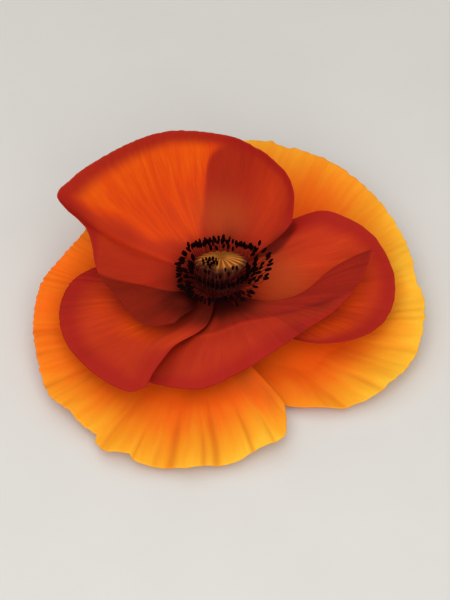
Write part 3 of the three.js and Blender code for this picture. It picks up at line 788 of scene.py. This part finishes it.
# %% Ovary and disc
OVARY_BOTTOM = 9.9
DISC_RIM, DISC_RADIUS, DISC_RISE = 16.9, 6.5, 1.7
DISC_RAYS = 18
STEPS_PER_RAY = 16
dome = [(DISC_RADIUS * s, DISC_RIM + DISC_RISE * (1 - s**2) ** 0.8) for s in np.linspace(1, 0.02, 34)]
pistil = turned("pistil_seed_head", [
    (0.3, OVARY_BOTTOM), (1.8, OVARY_BOTTOM), (2.25, 10.1), (2.6, 10.6), (3.1, 11.3), (3.7, 12.1),
    (4.3, 12.8), (4.8, 13.5), (5.2, 14.2), (5.5, 14.9), (5.75, 15.5), (6.0, 15.95), (6.25, 16.3),
    (6.45, 16.6),
] + dome, STEPS_PER_RAY * DISC_RAYS)

# %% [markdown]
# ## Rays of the disc
# Velvety rays run from the middle of the disc to the points of its skirt, raised by a
# sharpened cosine with a groove on either side. They could be cut with booleans, but moving
# the points of one closed skin leaves clean faces. The skirt draws in and drops between the
# rays, and shallow seams run on down the urn from there. At last the head is sheared, so
# that the disc leans back and the side of the ovary shows below its front edge.

# %% Rays and lean
RAY_SHARPNESS, RAY_HEIGHT, RAY_GROOVE = 1.6, 0.26, 0.12
SKIRT_SCALLOP, SKIRT_DROP, SEAM_DEPTH = 0.03, 0.1, 0.03
DISC_LEAN = 28
points = points_of(pistil)
radius = np.hypot(points[:, 0], points[:, 1])
turn = np.arctan2(points[:, 1], points[:, 0])
ray = 0.5 + 0.5 * np.cos(turn * DISC_RAYS)
crest = ray**RAY_SHARPNESS
on_disc = smoothstep(points[:, 2], 15.0, 16.7)
top = smoothstep(points[:, 2], 16.5, 17.0)
fade = smoothstep(radius, 0.4, 1.6) * (1 - 0.5 * smoothstep(radius, 5.2, 6.5))
points[:, 2] += top * fade * (RAY_HEIGHT * crest - RAY_GROOVE)
skirt = smoothstep(radius, 4.5, 6.5) * on_disc * (1 - ray)
points[:, :2] *= (1 - SKIRT_SCALLOP * skirt)[:, None]
points[:, 2] -= SKIRT_DROP * skirt
seam = (1 - on_disc) * smoothstep(points[:, 2], 11, 12.5) * (1 - ray)
points[:, :2] *= (1 - SEAM_DEPTH * seam)[:, None]
raised = np.clip((points[:, 2] - OVARY_BOTTOM) / (DISC_RIM - OVARY_BOTTOM), 0, 1)
points[:, 2] -= points[:, 1] * math.tan(math.radians(DISC_LEAN)) * raised
put_points(pistil, points)
behind = smoothstep(points[:, 1], -0.5, 2.5)
keep_values(pistil.data, "ray", crest)
keep_values(pistil.data, "middle", 1 - smoothstep(radius, 0.6, 2.2) * (1 - behind))
# The skirt mask carries painted shade along the disc's edge.
keep_values(pistil.data, "skirt", np.where(top > 0, smoothstep(radius, 4.2, 6.7), 1))
keep_values(pistil.data, "disc", on_disc)
bpy.ops.object.shade_smooth()
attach(pistil, "root")
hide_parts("pistil")
bpy.ops.object.select_all(action="DESELECT")
print("pistil", len(pistil.data.polygons), "faces,", DISC_RAYS, "rays")

# %% [markdown]
# ## One stamen
# A stamen is a thread with a two-lobed sac of pollen on its end. The sac starts as a small
# ball, is filled out towards its ends, pinched along its two sides for the groove between
# the lobes, and stretched. There are well over a hundred, so one sac has only a few dozen
# faces.

# %% Anther
ANTHER_WIDTH, ANTHER_DEPTH, ANTHER_LENGTH = 0.86, 0.74, 1.9
FULLNESS, PINCH, PINCH_WIDTH = 0.16, 0.35, 0.14
bpy.ops.mesh.primitive_uv_sphere_add(segments=10, ring_count=7, radius=0.5)
anther = bpy.context.active_object
anther.name = "anther"
ball = np.empty(len(anther.data.vertices) * 3)
anther.data.vertices.foreach_get("co", ball)
ball = ball.reshape(-1, 3)
ball[:, :2] *= (np.maximum(1 - (2 * ball[:, 2]) ** 2, 0.2) ** -FULLNESS)[:, None]
ball[:, 1] *= 1 - PINCH * bell(ball[:, 0], PINCH_WIDTH)
ball *= np.array([ANTHER_WIDTH, ANTHER_DEPTH, ANTHER_LENGTH])
anther.data.vertices.foreach_set("co", (ball * MM).ravel())
anther.data.shade_smooth()
print("anther", len(anther.data.polygons), "faces")

# %% [markdown]
# ## Threads
# A thread is a tapering tube of five sides round a Bezier curve. It could be a curve object
# with a bevel, but a mesh that is made ring by ring has exactly the faces it needs. The
# sac sits on its tip, turned towards where the stamen leans, with a seeded tilt and spin.

# %% Threads and sacs
THREAD_SIDES, THREAD_STATIONS = 5, 8
THREAD_TAPER = 0.35
SAC_LIFT = 0.3
stamen_random = np.random.RandomState(31)
stamen_parts = {"filament": [], "anther": []}


def scatter(reach):
    return stamen_random.uniform(-reach, reach)


def polar(radius, azimuth, height):
    angle = math.radians(azimuth)
    return Vector((radius * math.cos(angle), radius * math.sin(angle), height))


def thread(stations, thickness):
    last, sides = len(stations) - 1, THREAD_SIDES
    ring_points, faces = [], []
    for i, station in enumerate(stations):
        ahead = stations[min(i + 1, last)] - stations[max(i - 1, 0)]
        turn = ahead.to_track_quat("Z", "X")
        width = thickness * (1 - THREAD_TAPER * i / last)
        ring_points += [station + turn @ (polar(1, 360 * k / sides, 0) * width / 2) for k in range(sides)]
    for i in range(0, last * sides, sides):
        for k in range(sides):
            n = (k + 1) % sides
            faces.append((i + k, i + n, i + sides + n, i + sides + k))
    faces.append(tuple(reversed(range(sides))))
    faces.append(tuple(range(last * sides, (last + 1) * sides)))
    mesh = bpy.data.meshes.new("filament")
    mesh.from_pydata([Vector(axis) + point * MM for point in ring_points], [], faces)
    mesh.shade_smooth()
    return mesh


def plant_stamen(corners, outward, tilt, size):
    stations = [sum((corner * weight for corner, weight in zip(corners, curve_weights(t))), Vector())
                for t in np.linspace(0, 1, THREAD_STATIONS)]
    stamen_parts["filament"].append(thread(stations, stamen_random.uniform(0.2, 0.27)))
    tip = corners[-1]
    radial = Vector((tip.x, tip.y, 0)).normalized()
    along = (radial * outward + Vector((0, 0, 1 - outward))).normalized()
    lean = Euler((math.radians(scatter(tilt)), math.radians(scatter(tilt)), 0)).to_quaternion()
    spin = Quaternion((0, 0, 1), stamen_random.uniform(0, math.pi))
    facing = along.to_track_quat("Z", "X") @ lean @ spin
    mesh = anther.data.copy()
    mesh.transform(Matrix.Translation(Vector(axis) + (tip + along * SAC_LIFT) * MM)
                   @ facing.to_matrix().to_4x4() @ Matrix.Scale(size, 4))
    stamen_parts["anther"].append(mesh)


print("a thread has", THREAD_SIDES * (THREAD_STATIONS - 1) + 2, "faces")

# %% [markdown]
# ## The ring of stamens
# Stamens crowd round the ovary and lean out past the disc. Each thread rises from the
# foot of the ovary, bends out below the disc's edge and then stands up, with its sac
# pointing upwards at the back and outwards elsewhere. They stand in short arcs, closer in
# some than in others, and differ a little in height, lean and size. The rows are an arc's
# first and last azimuth, its count, its first and last radius, its height and how far
# its sacs point outwards.

# %% Stamens
FOOT_RADIUS, FOOT_HEIGHT = 3.95, 9.8
BEND_RADIUS, BEND_HEIGHT = 7.6, 11.2
STAMEN_ARCS = [
    (106, 138, 10, 8.6, 9.6, 14.8, 0.15), (109, 141, 9, 9.3, 10.4, 14.6, 0.2),
    (76, 104, 4, 9.7, 9.9, 14.7, 0.15), (68, 106, 8, 8.2, 8.6, 14.8, 0.15),
    (60, 114, 5, 7.0, 7.1, 14.4, 0.1), (42, 64, 9, 9.2, 8.4, 14.8, 0.2),
    (32, 46, 5, 10.4, 10.0, 14.6, 0.3), (-4, 32, 9, 8.5, 9.2, 14.6, 0.3),
    (-30, 8, 8, 7.0, 6.7, 14.8, 0.15), (-22, 34, 8, 11.4, 12.5, 14.2, 0.6),
    (-30, 12, 5, 9.4, 9.9, 14.2, 0.5), (-34, 2, 7, 8.3, 7.8, 13.8, 0.4),
    (-72, -32, 7, 11.2, 9.6, 13.6, 1.1), (-90, -50, 6, 9.3, 8.5, 13.6, 1.15),
    (230, 270, 10, 10.6, 9.4, 13.4, 1.15), (196, 232, 10, 10.5, 10.9, 13.8, 0.95),
    (176, 226, 10, 8.8, 9.5, 13.8, 0.7), (158, 196, 8, 10.0, 10.3, 14.2, 0.75),
    (142, 164, 5, 10.2, 9.6, 14.4, 0.5), (146, 204, 7, 7.6, 7.9, 14.2, 0.4),
    (166, 200, 4, 6.9, 6.9, 14.2, 0.3), (34, 38, 1, 11.6, 11.6, 16.2, 0.3),
]


def foot(azimuth):
    return polar(FOOT_RADIUS, azimuth, FOOT_HEIGHT)


for first, last, count, first_radius, last_radius, height, outward in STAMEN_ARCS:
    for i in range(count):
        share = (i + 0.5 + scatter(0.35)) / count
        azimuth = mix(first, last, share)
        radius = mix(first_radius, last_radius, share) + scatter(0.45)
        tip = polar(radius, azimuth, height + scatter(0.4))
        bend = polar(max(radius - 1.0, BEND_RADIUS), azimuth + scatter(3), BEND_HEIGHT)
        plant_stamen([foot(azimuth), polar(6.0, azimuth, 10.6), bend, tip],
                     outward, 14, stamen_random.uniform(0.82, 1.02))
print("stamens in the ring:", len(stamen_parts["anther"]))

# %% [markdown]
# ## Stamens against the disc
# A dense row stands right before the front edge of the disc, with a looser one before it.
# Each row here is a radius, a height and a count.

# %% Stamens before the disc
FRONT_ROWS = ((6.7, 15.3, 38), (7.0, 14.9, 16))
for radius, height, count in FRONT_ROWS:
    for azimuth in np.linspace(216, 324, count):
        azimuth += scatter(2)
        tip = polar(radius + scatter(0.2), azimuth, height + scatter(0.2))
        plant_stamen([foot(azimuth), polar(6.4, azimuth, 10.4), polar(radius, azimuth, 11.6), tip],
                     0.45, 16, stamen_random.uniform(0.9, 1.05))
print("stamens before the disc:", sum(count for _, _, count in FRONT_ROWS))

# %% [markdown]
# ## Stamens over the disc
# A few threads curl in over the disc, so that their sacs lie on its rays. They are placed
# one by one. A thread spreads out past the rim and arches back, and the further in its sac
# lies, the higher it arches, so that it stays clear of the disc.

# %% Stamens over the disc
LEANING_IN = [
    (-4.4, -2.5, 19.5), (-4.2, -3.8, 19.9), (-3.6, -2.1, 19.6), (-3.2, -4.0, 20.3),
    (-2.8, -2.5, 19.9), (-2.3, -4.6, 20.6), (-2.0, -2.2, 19.9), (-1.7, -4.1, 20.5),
    (-1.2, -3.0, 20.3), (-0.9, -4.5, 20.7), (-2.7, -5.4, 20.6), (-3.8, -5.9, 19.7),
    (-2.9, -6.4, 19.7), (1.1, -6.9, 21.4), (2.9, -6.3, 21.4), (3.9, -5.8, 20.8),
    (1.9, -6.7, 19.5), (-1.2, -6.9, 18.8), (-0.2, -7.0, 18.9), (-5.9, -3.8, 18.0),
]
DISC_REACH = 6.6
ARCH, ARCH_GROWTH = 0.8, 1.1
CLEARANCE = 0.3
for x, y, height in LEANING_IN:
    azimuth = math.degrees(math.atan2(y - 1.5, x * 1.3))
    inside = max(DISC_REACH - math.hypot(x, y), 0)
    over_rim = height + ARCH + ARCH_GROWTH * inside
    tip = Vector((x, y, height + (CLEARANCE if inside > 0 else 0)))
    plant_stamen([foot(azimuth), polar(9.2, azimuth, 10.8), polar(8.8, azimuth, over_rim), tip],
                 0.0, 12, stamen_random.uniform(0.8, 0.92))
print("stamens in all:", len(stamen_parts["anther"]))

# %% [markdown]
# ## Joining the stamens
# Hundreds of loose objects would be slow to handle, so the threads become one piece and
# the sacs another, each with its own finish.

# %% Join the stamens
def join_meshes(name, meshes):
    copies = []
    for mesh in meshes:
        copy = bpy.data.objects.new(name, mesh)
        bpy.context.scene.collection.objects.link(copy)
        copy.select_set(True)
        copies.append(copy)
    bpy.context.view_layer.objects.active = copies[0]
    bpy.ops.object.join()
    piece = copies[0]
    piece.name = piece.data.name = name
    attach(piece, "root")
    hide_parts("stamens")
    bpy.ops.object.select_all(action="DESELECT")
    print(name, len(piece.data.polygons), "faces")
    return piece


bpy.data.objects.remove(anther)
bpy.ops.object.select_all(action="DESELECT")
filaments = join_meshes("stamen_filaments", stamen_parts["filament"])
anthers = join_meshes("stamen_anthers", stamen_parts["anther"])

# %% [markdown]
# ## Building materials
# A material is a small tree of nodes. One helper adds a node and fills its sockets with
# numbers or links, so that a recipe reads from top to bottom. A colour is given as it looks
# on a screen, from 0 to 255, and turned into the linear light that a shader works with.

# %% Node helpers
def add(tree, kind, *sockets, out=0, **settings):
    node = tree.nodes.new("ShaderNode" + kind)
    for name, value in settings.items():
        setattr(node, name, value)
    for key, value in sockets:
        if isinstance(value, bpy.types.NodeSocket):
            tree.links.new(value, node.inputs[key])
        else:
            node.inputs[key].default_value = value
    return node.outputs[out]


def math_node(tree, operation, a, b):
    return add(tree, "Math", (0, a), (1, b), operation=operation)


def map_range(tree, value, from_low, from_high, to_low=0.0, to_high=1.0, smooth=True):
    return add(tree, "MapRange", ("Value", value), ("From Min", from_low), ("From Max", from_high),
               ("To Min", to_low), ("To Max", to_high), out="Result",
               interpolation_type="SMOOTHSTEP" if smooth else "LINEAR")


def blend_colours(tree, share, a, b):
    return add(tree, "Mix", (0, share), (6, a), (7, b), out=2, data_type="RGBA")


def colour(red, green, blue):
    shares = [value / 255 for value in (red, green, blue)]
    linear = [c / 12.92 if c <= 0.04045 else ((c + 0.055) / 1.055) ** 2.4 for c in shares]
    return (*linear, 1.0)


def ramp(tree, value, stops):
    node = tree.nodes.new("ShaderNodeValToRGB")
    elements = node.color_ramp.elements
    while len(elements) < len(stops):
        elements.new(1.0)
    for element, (place, tint) in zip(elements, stops):
        element.position = place
        element.color = colour(*tint)
    tree.links.new(value, node.inputs[0])
    return node.outputs["Color"]


print("middle grey in linear light:", round(colour(128, 128, 128)[0], 3))

# %% [markdown]
# ## Patterns
# A pattern reads what belongs to the piece: a mask kept on its mesh, or its own Object
# coordinates, which do not slide when the view changes.

# %% Pattern helpers
def attribute(tree, name):
    return add(tree, "Attribute", attribute_name=name, out="Fac")


def object_place(tree, direction):
    return add(tree, "SeparateXYZ", (0, add(tree, "TexCoord", out="Object")), out=direction)


def noise(tree, vector, scale, detail, roughness=0.5):
    return add(tree, "TexNoise", ("Vector", vector), ("Scale", scale), ("Detail", detail),
               ("Roughness", roughness))


def grain(tree, scale, detail):
    return noise(tree, add(tree, "TexCoord", out="Object"), scale, detail)


def nudged(tree, mask, pattern, reach):
    return math_node(tree, "ADD", mask, map_range(tree, pattern, 0, 1, -reach, reach, smooth=False))


# %% [markdown]
# ## Veins
# All petals share one pattern: long streaks that fan out from the claw, and finer veins
# between them. It is noise, stretched along the petal's own UV map, so it follows
# every fold. The group gives the wide streaks, the fine veins and a height.

# %% Vein group
def vein_group():
    tree = bpy.data.node_groups.new("petal_veins", "ShaderNodeTree")
    for name, value in (("Across", 40.0), ("Seed", 0.0)):
        socket = tree.interface.new_socket(name=name, in_out="INPUT", socket_type="NodeSocketFloat")
        socket.default_value = value
    for name in ("Streaks", "Veins", "Height"):
        tree.interface.new_socket(name=name, in_out="OUTPUT", socket_type="NodeSocketFloat")
    inputs = tree.nodes.new("NodeGroupInput")
    outputs = tree.nodes.new("NodeGroupOutput")
    uv = add(tree, "UVMap", uv_map="UVMap")
    split = tree.nodes.new("ShaderNodeSeparateXYZ")
    tree.links.new(uv, split.inputs[0])
    wander = math_node(tree, "MULTIPLY", noise(tree, uv, 5.0, 2.0), 0.02)
    bent = math_node(tree, "ADD", split.outputs[0], wander)

    def stretched(across_share, along):
        count = math_node(tree, "MULTIPLY", inputs.outputs["Across"], across_share)
        across = math_node(tree, "MULTIPLY", bent, count)
        outward = math_node(tree, "MULTIPLY", split.outputs[1], along)
        return add(tree, "CombineXYZ", (0, across), (1, outward), (2, inputs.outputs["Seed"]))

    streaks = map_range(tree, noise(tree, stretched(1.0, 1.6), 1.0, 3.0, 0.55), 0.3, 0.7)
    veins = map_range(tree, noise(tree, stretched(4.0, 3.0), 1.0, 4.0, 0.6), 0.32, 0.68)
    height = math_node(tree, "ADD", math_node(tree, "MULTIPLY", streaks, 0.6),
                       math_node(tree, "MULTIPLY", veins, 0.4))
    for name, value in (("Streaks", streaks), ("Veins", veins), ("Height", height)):
        tree.links.new(value, outputs.inputs[name])
    return tree


PETAL_VEINS = vein_group()
print("vein group:", [item.name for item in PETAL_VEINS.interface.items_tree])

# %% [markdown]
# ## Starting a material
# What is the same all over a surface, such as its roughness, is set on the shader itself.
# A petal lets a little light through, and scarcely shines.

# %% Start a material
def new_material(name, roughness, **constants):
    material = bpy.data.materials.new(name)
    material.use_nodes = True
    shader = material.node_tree.nodes["Principled BSDF"]
    shader.inputs["Roughness"].default_value = roughness
    for key, value in constants.items():
        shader.inputs[key.replace("_", " ")].default_value = value
    return material, material.node_tree, shader


def petal_material(name):
    return new_material(name, 0.6, Subsurface_Weight=0.08, Subsurface_Radius=(0.0012, 0.0005, 0.0002),
                        Specular_IOR_Level=0.04)


def veins_in(tree, across, seed):
    node = tree.nodes.new("ShaderNodeGroup")
    node.node_tree = PETAL_VEINS
    node.inputs["Across"].default_value = across
    node.inputs["Seed"].default_value = seed
    return node.outputs["Streaks"], node.outputs["Veins"], node.outputs["Height"]


def bump(tree, shader, height, strength, distance):
    normal = add(tree, "Bump", ("Height", height), ("Strength", strength), ("Distance", distance * MM))
    tree.links.new(normal, shader.inputs["Normal"])


def dress(piece, material):
    piece.data.materials.clear()
    piece.data.materials.append(material)
    print(piece.name, "wears", material.name)


# %% [markdown]
# ## Outer petal colour
# The outer petals are deep orange near the heart and pale to yellow at the rim, where
# they are thinnest. The streaks and veins break up that change, the pleats and dusk rows are
# painted browner in their valleys as shade, and the claw is nearly black, from its own dark
# base and painted shade round the heart.

# %% Outer petal material
def outer_petal_material(petal):
    material, tree, shader = petal_material(petal["name"] + "_orange")
    streaks, veins, height = veins_in(tree, 26.0, petal["seed"])
    pale = nudged(tree, nudged(tree, attribute(tree, "pale"), streaks, 0.06), veins, 0.05)
    base = ramp(tree, pale, [
        (0.0, (248, 98, 19)), (0.3, (249, 120, 25)), (0.55, (249, 146, 31)), (0.8, (251, 168, 40)),
        (1.0, (255, 188, 50))])
    # Painted shade in the pleats' valleys and the dusk rows.
    pleat_shade_share = map_range(tree, attribute(tree, "pleat"), 0.1, 2, 0, 0.8)
    crease_shaded = blend_colours(tree, pleat_shade_share, base, colour(196, 82, 22))
    # The claw darkens, partly its own dark base and partly painted shade round the heart.
    claw_dark_and_shade = blend_colours(tree, attribute(tree, "claw"), crease_shaded, colour(70, 18, 12))
    tree.links.new(claw_dark_and_shade, shader.inputs["Base Color"])
    bump(tree, shader, height, 0.3, 0.2)
    return material


for petal in (OUTER_RIGHT, OUTER_LEFT):
    dress(petal_pieces[petal["name"]], outer_petal_material(petal))


# %% [markdown]
# ## Inner petal colour
# The inner petals run from maroon through red to a glowing orange. The tone mask, which holds
# painted light and painted shade, picks the place on that scale, and the streaks push it up
# and down. Fine veins show mostly where the tone is high, in the painted glow. The brownish
# tint, partly painted shade in folds, and the crimson margin are laid over it, and both are
# dimmer where the petal is dark.

# %% Inner petal material
def inner_petal_material(petal):
    material, tree, shader = petal_material(petal["name"] + "_red")
    streaks, veins, height = veins_in(tree, 20.0, petal["seed"])
    tone = nudged(tree, attribute(tree, "tone"), streaks, 0.03)
    vein_strength = map_range(tree, tone, 0.6, 0.9, 0.03, 0.1)
    fine = math_node(tree, "MULTIPLY", vein_strength, math_node(tree, "SUBTRACT", veins, 0.5))
    tone = math_node(tree, "ADD", tone, fine)
    base = ramp(tree, tone, [
        (0.0, (60, 13, 9)), (0.2, (100, 25, 14)), (0.4, (144, 36, 19)), (0.55, (172, 44, 23)),
        (0.7, (194, 56, 24)), (0.85, (224, 72, 16)), (1.0, (240, 96, 14))])
    # The brown mask: a brownish tint, painted shade in the folds of the back and front petals.
    brown_tint_and_shade_share = map_range(tree, attribute(tree, "brown"), 0, 1, 0, 0.75)
    brown_tinted_and_shaded = blend_colours(tree, brown_tint_and_shade_share, base, colour(178, 70, 28))
    dimmed = blend_colours(tree, map_range(tree, tone, 0.5, 0.2), brown_tinted_and_shaded, base)
    crimson = blend_colours(tree, map_range(tree, tone, 0.2, 0.55), colour(90, 20, 16), colour(164, 33, 25))
    margin = nudged(tree, attribute(tree, "margin"), veins, -0.07)
    edged = map_range(tree, margin, MARGIN_START, MARGIN_FULL, 0, 0.92)
    margined = blend_colours(tree, edged, dimmed, crimson)
    tree.links.new(margined, shader.inputs["Base Color"])
    bump(tree, shader, height, 0.3, 0.2)
    return material


for petal in (INNER_RIGHT, INNER_FRONT, INNER_LEFT):
    dress(petal_pieces[petal["name"]], inner_petal_material(petal))
dress(petal_pieces["inner_back"], inner_petal_material(INNER_BACK))

# %% [markdown]
# ## Stalk finish
# The stub is a dull, speckled green. The cushion above it turns dark red among the claws.

# %% Stalk material
material, tree, shader = new_material("green_stalk", 0.6)
speckle = grain(tree, 900.0, 4.0)
green = blend_colours(tree, map_range(tree, speckle, 0.35, 0.65), colour(96, 112, 52), colour(150, 160, 84))
among_claws = map_range(tree, object_place(tree, "Z"), 4 * MM, 6 * MM)
reddened = blend_colours(tree, among_claws, green, colour(92, 26, 22))
tree.links.new(reddened, shader.inputs["Base Color"])
bump(tree, shader, speckle, 0.4, 0.1)
dress(receptacle, material)

# %% [markdown]
# ## Disc finish
# The disc is ochre, with pale velvety rays on a darker ground. It is duller in the middle
# and painted dark along the skirt, as shade under its edge, and the urn below is painted dark
# red for the shade under the disc, paler in line with the rays. Down is a fine noise that
# shifts each colour a little and roughens the surface.

# %% Disc material
material, tree, shader = new_material("rayed_disc", 0.75, Specular_IOR_Level=0.1)
down = grain(tree, 2600.0, 3.0)
ray = attribute(tree, "ray")
ground = blend_colours(tree, down, colour(126, 70, 18), colour(146, 84, 26))
velvet = blend_colours(tree, down, colour(200, 120, 48), colour(216, 138, 60))
disc = blend_colours(tree, map_range(tree, ray, 0.1, 0.8), ground, velvet)
centre = blend_colours(tree, down, colour(128, 80, 20), colour(146, 92, 28))
disc = blend_colours(tree, map_range(tree, attribute(tree, "middle"), 0, 1, 0, 0.85), disc, centre)
# Painted shade: the skirt is dark under the disc's edge.
rim = blend_colours(tree, ray, colour(66, 26, 14), colour(104, 50, 28))
disc = blend_colours(tree, map_range(tree, attribute(tree, "skirt"), 0, 1, 0, 0.95), disc, rim)
# Painted shade: the urn is dark red in the shade under the disc.
urn = blend_colours(tree, ray, colour(78, 24, 17), colour(112, 40, 28))
whole = blend_colours(tree, attribute(tree, "disc"), urn, disc)
tree.links.new(whole, shader.inputs["Base Color"])
bump(tree, shader, down, 0.5, 0.12)
dress(pistil, material)

# %% [markdown]
# ## Sac finish
# The sacs are nearly black with dusty pollen, so they are rough and scarcely shine.

# %% Sac material
material, tree, shader = new_material("dark_anther", 0.7, Specular_IOR_Level=0.03)
dust = grain(tree, 1800.0, 3.0)
dark = blend_colours(tree, map_range(tree, dust, 0.4, 0.7), colour(14, 1, 2), colour(28, 4, 5))
tree.links.new(dark, shader.inputs["Base Color"])
bump(tree, shader, dust, 0.3, 0.1)
dress(anthers, material)

# %% [markdown]
# ## Thread finish
# The threads are dark red, a little brighter at the back of the ring than in front, as
# painted light and shade. High up in front, between the sacs, painted shade darkens them
# towards the colour of the sacs.

# %% Thread material
material, tree, shader = new_material("red_thread", 0.6, Specular_IOR_Level=0.06)
mottle = map_range(tree, grain(tree, 500.0, 2.0), 0.35, 0.65)
# A little brighter at the back of the ring than in front: painted light and shade.
at_back = blend_colours(tree, mottle, colour(112, 27, 20), colour(138, 42, 32))
in_front = blend_colours(tree, mottle, colour(104, 27, 22), colour(130, 44, 36))
depth = object_place(tree, "Y")
red = blend_colours(tree, map_range(tree, depth, -3 * MM, 6 * MM), in_front, at_back)
# Painted shade high up in front, among the sacs.
high = map_range(tree, object_place(tree, "Z"), 12.5 * MM, 14 * MM, 0, 0.8)
shade_among_sacs = math_node(tree, "MULTIPLY", high, map_range(tree, depth, 1 * MM, -2 * MM))
sac_shaded = blend_colours(tree, shade_among_sacs, red, colour(44, 13, 10))
tree.links.new(sac_shaded, shader.inputs["Base Color"])
dress(filaments, material)

# %% [markdown]
# ## Floor
# The floor is plain and pale. It lies just under the flower, so that the two surfaces do
# not flicker where they meet.

# %% Floor
FLOOR_DROP = 0.2
bpy.ops.mesh.primitive_plane_add(size=3, location=(0, 0, -FLOOR_DROP * MM))
floor = bpy.context.active_object
floor.name = "floor"
material, tree, shader = new_material("pale_floor", 0.85)
pale = blend_colours(tree, grain(tree, 40.0, 2.0), colour(216, 214, 210), colour(222, 220, 216))
tree.links.new(pale, shader.inputs["Base Color"])
floor.data.materials.append(material)
print(floor.name, "wears", material.name)

# %% [markdown]
# ## Light
# A large soft lamp in front lights the inside of the cup. A weaker one stands high behind
# the flower to the left, and even light from all round fills the shadows. Colours are shown
# as they are set, without a film curve that would wash out the oranges.

# %% Lights
def soft_lamp(name, azimuth, elevation, distance, size, power, tint):
    data = bpy.data.lights.new(name, "AREA")
    data.shape = "DISK"
    data.size = size
    data.energy = power
    data.color = tint
    lamp = bpy.data.objects.new(name, data)
    a, e = math.radians(azimuth), math.radians(elevation)
    place = Vector((math.cos(a) * math.cos(e), math.sin(a) * math.cos(e), math.sin(e))) * distance
    lamp.location = place
    lamp.rotation_euler = (-place).to_track_quat("-Z", "Y").to_euler()
    bpy.context.scene.collection.objects.link(lamp)
    print(name, "at", [round(v, 2) for v in place])


soft_lamp("high_lamp", 122, 76, 0.6, 0.7, 1.0, (1.0, 0.98, 0.95))
soft_lamp("front_lamp", -92, 46, 0.7, 0.9, 4.0, (1.0, 0.99, 0.97))
world = bpy.data.worlds.new("studio")
world.use_nodes = True
background = world.node_tree.nodes["Background"]
background.inputs["Color"].default_value = (0.95, 0.94, 0.92, 1)
background.inputs["Strength"].default_value = 0.4
bpy.context.scene.world = world
bpy.context.scene.view_settings.view_transform = "Standard"
